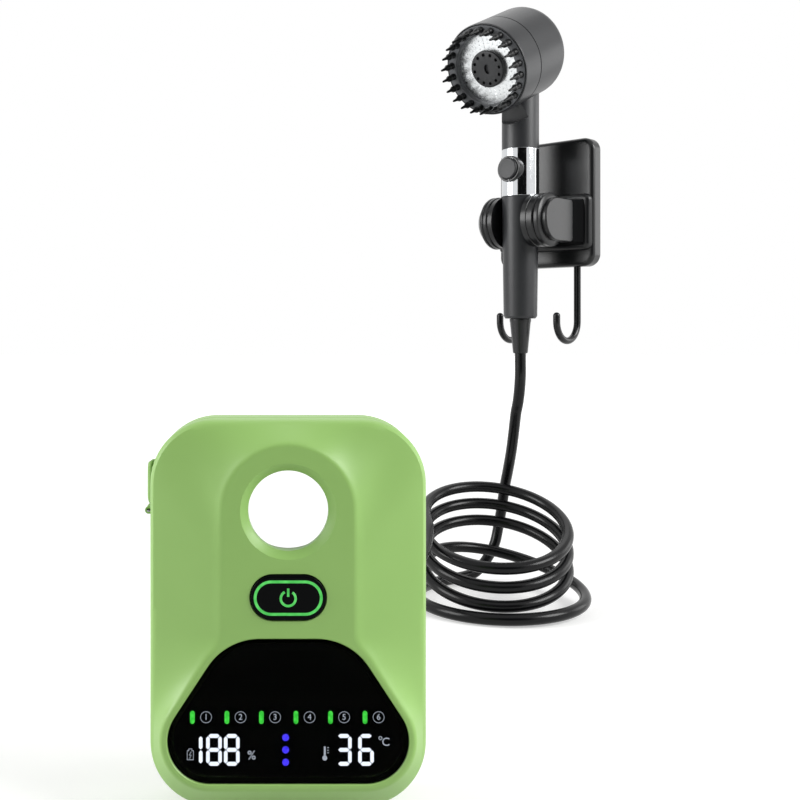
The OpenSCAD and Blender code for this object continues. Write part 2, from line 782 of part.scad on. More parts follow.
// Frame of the spray head: +z runs from its face to its back
face_at = [0, -42.5, band_z1 + 50.8];
face_z = 20;
notch_r = head_r + 11;
module at_head() {
  at_holder() translate(face_at) rotate([head_tilt - 90, 0, 0]) children();
}
module head_body() {
  color("#34373a")
  difference() {
    union() {
      at_head() rotate_extrude()
        polygon([[0, face_z], [head_r, face_z], [head_r, head_depth - 8], [head_r - 1.2, head_depth - 4],
          [head_r - 4, head_depth - 1.2], [head_r - 8, head_depth], [0, head_depth]]);
      difference() {
        at_holder() translate([0, 0, band_z1]) cylinder(r = 13.2, h = 45);
        at_head() translate([0, 0, -1]) cylinder(r = notch_r, h = face_z + 1.3);
      }
    }
    at_head() translate([0, 0, face_z - 1]) cylinder(r = head_r - 2.6, h = head_depth - face_z - 2);
    at_holder() translate([0, 0, band_z1 - 1]) cylinder(r = water_r + 1.4, h = 48);
  }
}
module spray_bezel() {
  color("#2b2e31")
  at_head() rotate_extrude()
    polygon([[head_r - 7, 1.2], [head_r - 1.2, 1.2], [head_r - 1.2, 0.6], [head_r - 0.6, 0],
      [head_r, 1], [head_r, face_z - 0.3], [head_r - 7, face_z - 0.3]]);
}
module brush_ring() {
  color("#1d2022")
  at_head() union() {
    rotate_extrude()
      polygon([[head_r - 7.9, -0.4], [head_r - 1.3, -0.4], [head_r - 1.3, 1.2], [head_r - 7.9, 1.2]]);
    for (i = [0 : bristles - 1])
      rotate([0, 0, 360 * i / bristles]) translate([head_r - 4.5, 0, -bristle_len])
        cylinder(r1 = 0.6, r2 = 2.3, h = bristle_len);
  }
}
module spray_plate() {
  color("#d5d8db")
  at_head() difference() {
    translate([0, 0, 3.5]) cylinder(r = head_r - 7, h = 2.5);
    for (i = [0 : 23]) rotate([0, 0, 15 * i]) translate([head_r - 13, 0, 3]) cylinder(r = 0.7, h = 4);
    for (i = [0 : 11]) rotate([0, 0, 30 * i]) translate([9.6, 0, 3]) cylinder(r = 0.9, h = 4);
  }
}
module spray_hub() {
  color("#3a3d40")
  at_head() difference() {
    translate([0, 0, 1.2]) cylinder(r = 13, h = 2.3);
    for (i = [0 : 11]) rotate([0, 0, 30 * i]) translate([9.6, 0, 0]) cylinder(r = 0.9, h = 4);
    translate([0, 0, 0]) cylinder(r = 2.2, h = 2.4);
  }
}

// Wall holder
plate_y = 32;
plate_z0 = axis_z - 32;
plate_c = [
  [plate_w / 2 - 9, plate_z0 + 9, 9],
  [plate_w / 2 - 9, plate_z0 + plate_h - 9, 9],
  [9 - plate_w / 2, plate_z0 + plate_h - 9, 9],
  [9 - plate_w / 2, plate_z0 + 9, 9]
];
hook_y = plate_y + plate_t / 2;
hook_bend = 14;
hook_mid = plate_z0 - 40;
hook_lip = 4;
module wall_plate() {
  color("#26292c")
  at_holder() difference() {
    loft([
      [plate_y, belt(plate_c, -3)],
      [plate_y + 0.8, belt(plate_c, -1.2)],
      [plate_y + 2.6, belt(plate_c, 0)],
      [plate_y + plate_t - 1, belt(plate_c, 0)],
      [plate_y + plate_t, belt(plate_c, -1)]
    ]);
    for (s = [-1, 1]) translate([s * hook_gap / 2, hook_y, plate_z0 - 1]) cylinder(r = hook_d / 2, h = 15);
  }
}
module wall_pad() {
  color("#d9d9d4")
  at_holder() slab(plate_y + plate_t, plate_y + plate_t + 1.2) polygon(belt(plate_c, -4));
}
module sideways(x0, x1, r) {
  translate([x0, 0, axis_z]) rotate([0, 90, 0]) cylinder(r = r, h = x1 - x0);
}
// A low shoe across the plate carries the arm
shoe_t = 4;
shoe_c = [
  for (s = [[1, -1], [1, 1], [-1, 1], [-1, -1]])
    [s[0] * (plate_w / 2 - 6), axis_z + s[1] * 15.4, 5]
];
module holder_arm() {
  color("#2b2e31")
  at_holder() difference() {
    union() {
      sideways(22.3, 27.5, socket_r);
      hull($fn = 32) {
        sideways(25, 31, 15.3, $fn = 32);
        translate([22.4, 17.6, axis_z - 15.3]) cube([8.6, 2.4, 30.6]);
      }
      hull() {
        translate([22.4, 17.6, axis_z - 15.3]) cube([8.6, 2.4, 30.6]);
        translate([22.4, plate_y - 3, axis_z - 16]) cube([13.6, 3, 32]);
      }
      loft([
        [plate_y - shoe_t, belt(shoe_c, -2.5)],
        [plate_y - shoe_t + 1, belt(shoe_c, -1)],
        [plate_y, belt(shoe_c, 0)]
      ]);
    }
    sideways(20, 29.4, 4);
  }
}
module pivot_bolt() {
  color("#c9cdd2")
  at_holder() sideways(15.6, 29.4, 4);
}
module holder_socket() {
  color("#1f2224")
  at_holder() difference() {
    union() {
      sideways(-12.4, 22, socket_r);
      sideways(-16, -12.2, socket_r - 0.7);
    }
    translate([0, 0, axis_z - 30])
      cylinder(r1 = grip_r(axis_z - 30) + 0.25, r2 = grip_r(axis_z + 30) + 0.25, h = 60);
    translate([-12.3, -30, axis_z - 30]) cube([24.6, 30, 60]);
    sideways(14.9, 23, 4.05);
    sideways(-17, -14.2, 3.05);
  }
}
module socket_knob() {
  color("#1f2224")
  at_holder() union() {
    translate([0, 0, axis_z]) rotate([0, 90, 0]) rotate_extrude()
      polygon([[0, -28], [12.6, -28], [socket_r, -21.6], [socket_r, -16.3], [0, -16.3]]);
    sideways(-16.4, -14.5, 3);
    for (i = [0 : 15])
      translate([-20.5, 0, axis_z]) rotate([22.5 * i, 0, 0])
        translate([0, -0.9, socket_r - 0.4]) cube([3.4, 1.8, 0.9]);
  }
}
module wire_hook(x) {
  color("#1b1d1f")
  at_holder() union() {
    translate([x, hook_y, hook_mid]) cylinder(r = hook_d / 2, h = plate_z0 + 14 - hook_mid);
    translate([x, hook_y - hook_bend, hook_mid]) rotate([90, 0, 90]) rotate_extrude(angle = -180)
      translate([hook_bend, 0]) circle(r = hook_d / 2);
    translate([x, hook_y - 2 * hook_bend, hook_mid]) cylinder(r = hook_d / 2, h = hook_lip);
    translate([x, hook_y - 2 * hook_bend, hook_mid + hook_lip]) sphere(r = hook_d / 2);
  }
}
module hook_left() {
  wire_hook(-hook_gap / 2);
}
module hook_right() {
  wire_hook(hook_gap / 2);
}

front_shell();
rear_shell();
shell_gasket();
base_foot();
case_screws();
display_lens();
led_panel();
digit_segments();
level_bars();
flow_dots();
display_board();
power_button();
button_light();
button_switch();
control_board();
battery_cells();
battery_cradle();
motor_can();
motor_shaft();
impeller();
pump_volute();
shaft_seal();
volute_cover();
intake_filter();
intake_grille();
outlet_spigot();
outlet_washer();
pump_hose_nut();
temperature_probe();
charge_socket();
charge_board();
port_cover();
port_pin();
hose_tail();
hose_coil();
hose_rise();
hose_lead();
handset_nut();
handset_washer();
handset_grip();
water_tube();
handle_band();
valve_body();
valve_spring();
stop_button();
head_body();
spray_bezel();
brush_ring();
spray_plate();
spray_hub();
wall_plate();
wall_pad();
holder_arm();
pivot_bolt();
holder_socket();
socket_knob();
hook_left();
hook_right();
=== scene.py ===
import math

import bpy
from mathutils import Matrix, Vector


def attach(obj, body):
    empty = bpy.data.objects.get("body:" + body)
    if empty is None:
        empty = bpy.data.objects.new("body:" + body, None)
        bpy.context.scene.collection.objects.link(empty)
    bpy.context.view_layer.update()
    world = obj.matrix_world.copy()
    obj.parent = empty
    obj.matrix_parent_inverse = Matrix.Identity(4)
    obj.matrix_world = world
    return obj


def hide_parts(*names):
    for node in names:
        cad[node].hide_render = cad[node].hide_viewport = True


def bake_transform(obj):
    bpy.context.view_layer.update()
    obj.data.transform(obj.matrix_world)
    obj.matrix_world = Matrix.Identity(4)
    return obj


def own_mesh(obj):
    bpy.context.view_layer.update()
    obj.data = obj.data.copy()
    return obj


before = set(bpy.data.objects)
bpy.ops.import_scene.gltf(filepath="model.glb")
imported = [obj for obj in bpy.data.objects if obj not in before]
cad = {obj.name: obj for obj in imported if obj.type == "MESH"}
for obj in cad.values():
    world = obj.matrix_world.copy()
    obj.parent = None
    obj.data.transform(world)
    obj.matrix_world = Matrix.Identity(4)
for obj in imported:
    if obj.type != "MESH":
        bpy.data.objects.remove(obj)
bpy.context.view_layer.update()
mm = 0.001

# Camera: level, square to the pump's face, a little above its top, with the frame slid
# right and down so that the handset at the back right comes into the picture.
picture_px = 800
focal_px = 1042
middle_px = (288.2, 324.2)
film_w = 36
bpy.ops.object.select_all(action="DESELECT")
bpy.ops.object.camera_add(location=(0, -424 * mm, 195 * mm), rotation=(math.pi / 2, 0, 0))
camera = bpy.context.object
camera.data.sensor_width = film_w
camera.data.lens = film_w * focal_px / picture_px
camera.data.shift_x = 0.5 - middle_px[0] / picture_px
camera.data.shift_y = middle_px[1] / picture_px - 0.5
camera.data.clip_start = 0.01
scene = bpy.context.scene
scene.camera = camera
scene.view_settings.view_transform = "Standard"


# Hose: one length of smooth black PVC tube. It leaves the nut at the pump's back, lies in
# three stacked loops over a wider one on the floor, and climbs to the handset's foot.
hose_d = 8 * mm
floor_loop_r, coil_r = 58, 49
floor_loop_x, coil_x, coil_y = 149, 145, 305
coil_pitch, coil_lean = 12.4, 16
coil_from = math.radians(124)
turns = 4 + 56 / 360
steps_a_turn = 96
leaves_floor, climbs_evenly, gather_turns = 0.25, 0.45, 0.8


def shade(code):
    """An sRGB hex code as the linear colour that a shader reads."""
    parts = [int(code[i:i + 2], 16) / 255 for i in (1, 3, 5)]
    return (*(c / 12.92 if c <= 0.04045 else ((c + 0.055) / 1.055) ** 2.4 for c in parts), 1)


def add(tree, kind, links=None, **settings):
    """Adds one node: settings are its own fields, links its inputs, as values or sockets."""
    made = tree.nodes.new(kind)
    for field, value in settings.items():
        setattr(made, field, value)
    for socket, value in (links or {}).items():
        if isinstance(value, bpy.types.NodeSocket):
            tree.links.new(value, made.inputs[socket])
        else:
            made.inputs[socket].default_value = value
    return made


def finish_named(name, values):
    """A new finish with the constants of its shader set; gives it, its tree and its shader."""
    made = bpy.data.materials.new(name)
    made.use_nodes = True
    shader = made.node_tree.nodes["Principled BSDF"]
    for socket, value in values.items():
        shader.inputs[socket].default_value = value
    return made, made.node_tree, shader


def clouded(name, low, high, gloss, cloud, values, fine=None, stretch=(1, 1, 1)):
    """A finish whose tone and gloss drift together. Cloud is the scale and detail of that drift,
    and fine the scale, detail and depth of a bump over it."""
    made, tree, shader = finish_named(name, values)
    at = add(tree, "ShaderNodeTexCoord").outputs["Object"]
    along = add(tree, "ShaderNodeMapping", {"Vector": at, "Scale": stretch}).outputs["Vector"]
    noise = {"Vector": along, "Scale": cloud[0], "Detail": cloud[1]}
    drift = add(tree, "ShaderNodeTexNoise", noise).outputs["Fac"]
    tone = add(tree, "ShaderNodeMix", {0: drift, 6: shade(low), 7: shade(high)}, data_type="RGBA")
    dull = add(tree, "ShaderNodeMapRange", {"Value": drift, "To Min": gloss[0], "To Max": gloss[1]})
    tree.links.new(tone.outputs[2], shader.inputs["Base Color"])
    tree.links.new(dull.outputs["Result"], shader.inputs["Roughness"])
    if fine:
        noise = {"Vector": along, "Scale": fine[0], "Detail": fine[1]}
        lines = add(tree, "ShaderNodeTexNoise", noise).outputs["Fac"]
        bump = add(tree, "ShaderNodeBump", {"Strength": 0.12, "Distance": fine[2] * mm, "Height": lines})
        tree.links.new(bump.outputs["Normal"], shader.inputs["Normal"])
    return made


# Extruded plasticised PVC: near black and glossy, with faint draw lines from the die and
# dull patches, 17 mm wide, where hands have rubbed it. The lines are drawn 1.5 mm apart,
# coarser than real ones, so that they show.
hose_pvc = clouded("extruded_black_pvc", "#060607", "#0f1011", (0.16, 0.32), (60, 3),
                   {"IOR": 1.5, "Specular IOR Level": 0.22}, fine=(650, 2, 0.1))


def in_mm(points):
    """Points given in millimetres, as vectors in metres."""
    return [Vector(p) * mm for p in points]


def smooth_run(points, pieces):
    """A smooth curve through the points, with so many pieces between each two."""
    run = []
    for i in range(len(points) - 1):
        b, c = points[i], points[i + 1]
        a = points[i - 1] if i else 2 * b - c
        d = points[i + 2] if i + 2 < len(points) else 2 * c - b
        for k in range(pieces):
            u = k / pieces
            run.append(b + 0.5 * ((c - a) * u + (2 * a - 5 * b + 4 * c - d) * u * u
                                  + (3 * b - a - 3 * c + d) * u ** 3))
    return run + [points[-1]]


def ease(t):
    """A smooth step from 0 to 1."""
    u = min(1, max(0, t))
    return u * u * (3 - 2 * u)


def coil_at(s):
    """The coil's middle line after s turns, from the floor loop up to the top one."""
    gathered = ease((s - climbs_evenly) / gather_turns)
    a = coil_from + math.tau * s
    r = (floor_loop_r - (floor_loop_r - coil_r) * gathered) * mm
    x = (floor_loop_x - (floor_loop_x - coil_x) * gathered) * mm
    if s < leaves_floor:
        lift = 0
    elif s < climbs_evenly:
        lift = coil_pitch * (s - leaves_floor) ** 2 / (2 * (climbs_evenly - leaves_floor))
    else:
        lift = coil_pitch * (s - (leaves_floor + climbs_evenly) / 2)
    lean = coil_lean * gathered * (0.6 + math.sin(a))
    return Vector((x + r * math.cos(a), coil_y * mm + r * math.sin(a), hose_d / 2 + (lift + lean) * mm))


def tube_along(name, points, width, roundness, closed=False):
    """A round tube along its middle line, as a curve of one spline."""
    line = bpy.data.curves.new(name, "CURVE")
    line.dimensions = "3D"
    line.bevel_depth = width / 2
    line.bevel_resolution = roundness
    line.use_fill_caps = not closed
    run = line.splines.new("POLY")
    run.points.add(len(points) - 1)
    run.use_cyclic_u = closed
    for spot, p in zip(run.points, points):
        spot.co = (*p, 1)
    made = bpy.data.objects.new(name, line)
    scene.collection.objects.link(made)
    return made


def hold(piece):
    """Makes the piece the only one selected, and the active one."""
    bpy.ops.object.select_all(action="DESELECT")
    piece.select_set(True)
    bpy.context.view_layer.objects.active = piece
    return piece


def as_mesh(piece):
    hold(piece)
    bpy.ops.object.convert(target="MESH")
    return bpy.context.object


def hose_run(name, line):
    """One stretch of the hose along its middle line."""
    made = tube_along(name, line, hose_d, 6)
    made.data.materials.append(hose_pvc)
    return made


# The hose points level out of the coil's foot, and a little down out of its top
start_way = Vector((math.sin(coil_from), -math.cos(coil_from), 0))
end_way = Vector((0, -49, -14)).normalized()
coil_foot = coil_at(0) + hose_d * start_way
coil_top = coil_at(turns) + hose_d * end_way
coil_line = [coil_foot, coil_at(0) + hose_d / 2 * start_way]
coil_line += [coil_at(k / steps_a_turn) for k in range(int(turns * steps_a_turn))]
coil_line += [coil_at(turns), coil_at(turns) + hose_d / 2 * end_way, coil_top]

nut_mouth = (38.5, 35.2, 68)
tail_marks = [(38.5, 49.2, 67.6), (40, 80, 63), (45, 116, 54), (54, 153, 46.5),
              (65, 190, 42.5), (78, 226, 42.5), (90, 262, 47)]
tail_line = in_mm([nut_mouth])
tail_line += smooth_run(in_mm(tail_marks) + [coil_at(turns) + 2 * hose_d * end_way], 8)
tail_line += [coil_top]

rise_marks = [(141, 366, 6.5), (151, 372.5, 14.5), (158.5, 377, 26), (162, 378.5, 40),
              (164, 376, 55), (165, 371, 70), (166, 363, 85), (166.5, 354, 100),
              (166.5, 345.5, 115), (166.5, 338.5, 129), (166.9, 336.3, 134)]
rise_line = smooth_run([coil_foot, coil_foot + hose_d / 2 * start_way] + in_mm(rise_marks), 6)
lead_marks = [(166.9, 336.3, 134), (167.3, 334.1, 139), (167.7, 331.5, 147.5),
              (168, 330, 158), (168, 330, 170), (168, 330, 181)]
lead_line = smooth_run(in_mm(lead_marks), 6)

hose_tail = hose_run("hose_behind_pump", tail_line)
hose_coil = hose_run("hose_loops", coil_line)
hose_rise = as_mesh(hose_run("hose_climb", rise_line))
hose_lead = as_mesh(hose_run("hose_at_handset", lead_line))
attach(hose_tail, "pump")
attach(hose_coil, "pump")
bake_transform(hose_rise)
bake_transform(hose_lead)
stretches = (
    (hose_tail, tail_line, "hose_tail", "hanging"),
    (hose_coil, coil_line, "hose_coil", "coiled"),
    (hose_rise, rise_line, "hose_rise", "hanging"),
    (hose_lead, lead_line, "hose_lead", "hanging"),
)
for piece, line, node, lay in stretches:
    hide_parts(node)


# Floor and light: a plain white sweep under soft boxes, with a white room round them.
# A dark card stands behind the camera, seen in reflections only, as in a product studio.
def seen_directly(tree):
    """1 for a ray that looks at a surface straight, mirrored or through glass, and 0 for its light."""
    path = add(tree, "ShaderNodeLightPath")
    seen = path.outputs["Is Camera Ray"]
    for ray in ("Is Glossy Ray", "Is Transmission Ray"):
        seen = add(tree, "ShaderNodeMath", {0: seen, 1: path.outputs[ray]}, operation="MAXIMUM").outputs[0]
    return seen


# Matt paper: a pale grey with soft fibre clouds, drawn 33 mm across, coarser than real ones.
# Where it is looked at directly it is lifted to white, and more so away from the object, so
# that only the shadows stay grey.
sweep_middle = (0.1, 0.2, 0)
bpy.ops.object.select_all(action="DESELECT")
bpy.ops.mesh.primitive_plane_add(size=12, location=(0, 0, -0.3 * mm))
floor = bpy.context.object
floor.name = "studio_floor"
paper, tree, shader = finish_named("matt_white_paper", {"Roughness": 0.9, "Specular IOR Level": 0.1})
at = add(tree, "ShaderNodeTexCoord").outputs["Object"]
fibre = add(tree, "ShaderNodeTexNoise", {"Vector": at, "Scale": 30, "Detail": 3}).outputs["Fac"]
tone = add(tree, "ShaderNodeMix", {0: fibre, 6: shade("#d2d2d1"), 7: shade("#d9d9d8")}, data_type="RGBA")
tree.links.new(tone.outputs[2], shader.inputs["Base Color"])
away = add(tree, "ShaderNodeVectorMath", {0: at, 1: sweep_middle}, operation="DISTANCE").outputs["Value"]
fade = {"Value": away, "From Min": 0.5, "From Max": 1.6, "To Min": 0.42, "To Max": 1.0}
back_light = add(tree, "ShaderNodeMapRange", fade).outputs["Result"]
lifted = add(tree, "ShaderNodeMath", {0: seen_directly(tree), 1: back_light}, operation="MULTIPLY")
shader.inputs["Emission Color"].default_value = shade("#ffffff")
tree.links.new(lifted.outputs[0], shader.inputs["Emission Strength"])
floor.data.materials.append(paper)

room = bpy.data.worlds.new("white_room")
scene.world = room
room.use_nodes = True
tree = room.node_tree
tree.nodes.clear()
soft = add(tree, "ShaderNodeBackground", {"Color": shade("#ffffff"), "Strength": 0.35})
white = add(tree, "ShaderNodeBackground", {"Color": shade("#ffffff"), "Strength": 1.0})
both = add(tree, "ShaderNodeMixShader", {0: seen_directly(tree), 1: soft.outputs[0], 2: white.outputs[0]})
add(tree, "ShaderNodeOutputWorld", {"Surface": both.outputs[0]})


def soft_box(name, place, aim, size, power):
    """A large square lamp that looks from place to aim."""
    bpy.ops.object.light_add(type="AREA", location=place)
    lamp = bpy.context.object
    lamp.name = name
    lamp.data.size = size
    lamp.data.energy = power
    lamp.rotation_euler = (Vector(aim) - Vector(place)).to_track_quat("-Z", "Y").to_euler()


soft_box("key_from_right", (1.35, -0.4, 0.95), (0.05, 0.05, 0.1), 0.8, 24)
soft_box("fill_from_left", (-1.3, 0.0, 0.6), (0.05, 0.1, 0.12), 0.8, 16)
soft_box("edge_from_right", (1.45, 0.65, 0.45), (0.2, 0.3, 0.27), 0.6, 2.6)
soft_box("top_from_behind", (0.2, 1.0, 1.3), (0.1, 0.2, 0.1), 1.0, 2)

# Black felt: it throws back almost nothing. Its faint nap is drawn 18 mm across, coarser than
# a real one, as only reflections show it.
bpy.ops.mesh.primitive_plane_add(size=1, location=(0.1, -1.1, 0.5), rotation=(math.pi / 2, 0, 0))
dark_card = bpy.context.object
dark_card.name = "dark_card"
dark_card.scale = (1.5, 1.4, 1)
felt, tree, shader = finish_named("black_felt", {"Roughness": 1.0, "Specular IOR Level": 0.0})
at = add(tree, "ShaderNodeTexCoord").outputs["Object"]
nap = add(tree, "ShaderNodeTexNoise", {"Vector": at, "Scale": 80}).outputs["Fac"]
tone = add(tree, "ShaderNodeMix", {0: nap, 6: shade("#0b0b0b"), 7: shade("#161616")}, data_type="RGBA")
tree.links.new(tone.outputs[2], shader.inputs["Base Color"])
dark_card.data.materials.append(felt)
dark_card.visible_camera = False
dark_card.visible_diffuse = False
dark_card.visible_shadow = False


# Front shell: half of the pump's case, injection moulded in satin green ABS. A raised bell
# stands on it, with the carrying hole at its top and the seat of the display at its foot.
right, base, top = 55, 3, 157
corner_r, wall = 25.5, 2.2
face_y, seam_y = -22, 0.4
hole_z, hole_r = top - 34.4, 15.6
taper_y, taper = -16, 0.2
button_z = 89.5
fan_z, rays = base + 67, 288
bell_power = 12


def both_sides(*circles):
    """Circles (x, z, r) of the right side, listed upwards, and then their mirror images."""
    return [*circles, *((-x, z, r) for x, z, r in reversed(circles))]


corner_x = right - corner_r
body_corners = both_sides((corner_x, base + corner_r, corner_r), (corner_x, top - corner_r, corner_r))
lens_corners = both_sides((30.2, 33.9, 16.4), (11, 49.3, 24))
column_ends = [(0, hole_z, 26), (0, base + 62, 26)]
button_ends = both_sides((5.9, button_z, 8.7))


def belt(circles, grow=0, steps=24):
    """The outline of a belt round circles (x, z, r) listed anticlockwise, grown outwards."""
    outline = []
    count = len(circles)

    def leave(p, q):
        d = Vector(q[:2]) - Vector(p[:2])
        return math.atan2(d.y, d.x) - math.acos((p[2] - q[2]) / d.length)

    for i, (x, z, r) in enumerate(circles):
        a = leave(circles[i - 1], circles[i])
        b = leave(circles[i], circles[(i + 1) % count])
        b += math.tau if b < a else 0
        outline += [(x + (r + grow) * math.cos(a + (b - a) * k / steps),
                     z + (r + grow) * math.sin(a + (b - a) * k / steps)) for k in range(steps + 1)]
    return outline


def reach(outline, a):
    """How far the outline lies from the fan's middle in direction a."""
    dx, dz = math.cos(a), math.sin(a)
    far = 0
    for (x0, z0), (x1, z1) in zip(outline, outline[1:] + outline[:1]):
        ex, ez, px, pz = x1 - x0, z1 - z0, x0, z0 - fan_z
        k = dx * ez - dz * ex
        if abs(k) > 1e-9:
            t, s = (px * ez - pz * ex) / k, (px * dz - pz * dx) / k
            if t > far and -1e-6 <= s <= 1 + 1e-6:
                far = t
    return far


fan = [math.tau * k / rays for k in range(rays)]


def body_ring(grow):
    """The case's outline, as its reach along each ray of the fan."""
    outline = belt(body_corners, grow)
    return [reach(outline, a) for a in fan]


def raised_ring(grow):
    """The bell's outline: the column and the display's seat, run together softly."""
    column, lens = belt(column_ends, grow), belt(lens_corners, grow + 2.4)
    return [(reach(column, a) ** bell_power + reach(lens, a) ** bell_power) ** (1 / bell_power) for a in fan]


def at_level(y, ring):
    return [Vector((r * math.cos(a), y, fan_z + r * math.sin(a))) * mm for a, r in zip(fan, ring)]


def between(one, two, t):
    return [a.lerp(b, t) for a, b in zip(one, two)]


def skin(name, rings, closed=True):
    """A skin drawn over closed rings of as many points each; its two ends are filled in."""
    count = len(rings[0])
    bpy.ops.object.select_all(action="DESELECT")
    bpy.ops.mesh.primitive_grid_add(x_subdivisions=count, y_subdivisions=len(rings) - 1, size=1)
    made = bpy.context.object
    made.name = name
    for v in made.data.vertices:
        i, j = round((v.co.x + 0.5) * count), round((v.co.y + 0.5) * (len(rings) - 1))
        v.co = rings[j][i % count]
    bpy.ops.object.mode_set(mode="EDIT")
    bpy.ops.mesh.select_all(action="SELECT")
    bpy.ops.mesh.remove_doubles(threshold=1e-6)
    if closed:
        bpy.ops.mesh.select_all(action="DESELECT")
        bpy.ops.mesh.select_non_manifold(use_wire=False, use_multi_face=False,
                                         use_non_contiguous=False, use_verts=False)
        bpy.ops.mesh.fill_holes(sides=0)
    bpy.ops.mesh.select_all(action="SELECT")
    bpy.ops.mesh.normals_make_consistent(inside=False)
    bpy.ops.object.mode_set(mode="OBJECT")
    return made


def flat_ring(outline, y):
    return in_mm((x, y, z) for x, z in outline)


def stack(circles, levels, steps=24):
    """Rings of a belt's outline, one for each level (y, growth)."""
    return [flat_ring(belt(circles, grow, steps), y) for y, grow in levels]


def block(name, outline, y0, y1):
    """An outline in x and z, given depth from y0 to y1."""
    return skin(name, [flat_ring(outline, y0), flat_ring(outline, y1)])


def turned(name, outline, steps=96):
    """A piece turned on a lathe: an outline of (radius, height) spun round z."""
    bpy.ops.object.select_all(action="DESELECT")
    bpy.ops.mesh.primitive_plane_add(size=mm)
    made = bpy.context.object
    made.name = name
    bpy.ops.object.mode_set(mode="EDIT")
    bpy.ops.mesh.merge(type="CENTER")
    bpy.ops.transform.translate(value=(outline[0][0] * mm, 0, outline[0][1] * mm))
    for (r0, z0), (r1, z1) in zip(outline, outline[1:]):
        move = {"value": ((r1 - r0) * mm, 0, (z1 - z0) * mm)}
        bpy.ops.mesh.extrude_vertices_move(TRANSFORM_OT_translate=move)
    bpy.ops.mesh.select_all(action="SELECT")
    bpy.ops.mesh.spin(steps=steps, angle=math.tau, center=(0, 0, 0), axis=(0, 0, 1))
    bpy.ops.mesh.select_all(action="SELECT")
    bpy.ops.mesh.remove_doubles(threshold=1e-6)
    bpy.ops.mesh.normals_make_consistent(inside=False)
    bpy.ops.object.mode_set(mode="OBJECT")
    return made


def put(piece, place):
    """Moves the piece by a matrix, into its mesh."""
    hold(piece).matrix_world = place
    bpy.ops.object.transform_apply(location=True, rotation=True, scale=True)
    return piece


def join(*pieces):
    hold(pieces[0])
    for piece in pieces[1:]:
        piece.select_set(True)
    bpy.ops.object.join()
    return pieces[0]


def cut(piece, *cutters, way="DIFFERENCE"):
    """Cuts the cutters out of the piece, or joins them to it, and clears them away."""
    for cutter in cutters:
        hold(piece)
        bpy.ops.object.modifier_add(type="BOOLEAN")
        step = piece.modifiers[-1]
        step.operation, step.solver, step.object = way, "EXACT", cutter
        bpy.ops.object.modifier_apply(modifier=step.name)
        bpy.data.objects.remove(cutter)
    return piece


def soften(piece, width, angle=35, segments=3):
    """Rounds the piece's sharp edges by so many millimetres and keeps its flats flat."""
    hold(piece)
    bpy.ops.object.shade_smooth()
    if width:
        bpy.ops.object.modifier_add(type="BEVEL")
        edge = piece.modifiers[-1]
        edge.width, edge.segments = width * mm, segments
        edge.limit_method, edge.angle_limit = "ANGLE", math.radians(angle)
        bpy.ops.object.modifier_apply(modifier=edge.name)
    bpy.ops.object.modifier_add(type="WEIGHTED_NORMAL")
    piece.modifiers[-1].weight = 100
    bpy.ops.object.modifier_apply(modifier=piece.modifiers[-1].name)
    return piece


def crisp(piece, angle=30):
    """Shades the piece smooth, with a hard line where its faces turn by more than the angle."""
    hold(piece)
    bpy.ops.object.shade_smooth_by_angle(angle=math.radians(angle))
    return piece


def level_front(piece):
    """Gives the faces on the bell's flat front one common normal, so that they shade flat."""
    mesh = piece.data
    normals = [corner.vector.copy() for corner in mesh.corner_normals]
    for face in mesh.polygons:
        if abs(face.center.y - face_y * mm) < 1e-5:
            for i in face.loop_indices:
                normals[i] = Vector((0, -1, 0))
    mesh.normals_split_custom_set(normals)


def along_y(x=0, z=0):
    """Stands a turned piece along +y, through x and z."""
    return Matrix.Translation((x * mm, 0, z * mm)) @ Matrix.Rotation(-math.pi / 2, 4, "X")


def dress(finish, *pieces):
    for piece in pieces:
        piece.data.materials.clear()
        piece.data.materials.append(finish)


def moulded(name, low, high, rough, grain, depth, values=None):
    """Moulded plastic or rubber: its tone drifts over about 30 mm, and the mould's grain shows as
    bump and gloss. Grain is in mm, drawn coarser than the real 0.1 mm so that it shows."""
    made, tree, shader = finish_named(name, {"IOR": 1.5, **(values or {})})
    at = add(tree, "ShaderNodeTexCoord").outputs["Object"]
    drift = add(tree, "ShaderNodeTexNoise", {"Vector": at, "Scale": 33, "Detail": 2}).outputs["Fac"]
    fine = {"Vector": at, "Scale": 1 / (grain * mm), "Detail": 2}
    pits = add(tree, "ShaderNodeTexNoise", fine).outputs["Fac"]
    tone = add(tree, "ShaderNodeMix", {0: drift, 6: shade(low), 7: shade(high)}, data_type="RGBA")
    dull = add(tree, "ShaderNodeMapRange", {"Value": pits, "To Min": rough - 0.05, "To Max": rough + 0.05})
    bump = add(tree, "ShaderNodeBump", {"Strength": 0.25, "Distance": depth * mm, "Height": pits})
    tree.links.new(tone.outputs[2], shader.inputs["Base Color"])
    tree.links.new(dull.outputs["Result"], shader.inputs["Roughness"])
    tree.links.new(bump.outputs["Normal"], shader.inputs["Normal"])
    return made


# Satin ABS in a leaf green: an even colour, and a fine spark-eroded grain that spreads the
# highlights.
green_abs = moulded("satin_green_abs", "#8eb962", "#94bf68", 0.42, 0.8, 0.02)

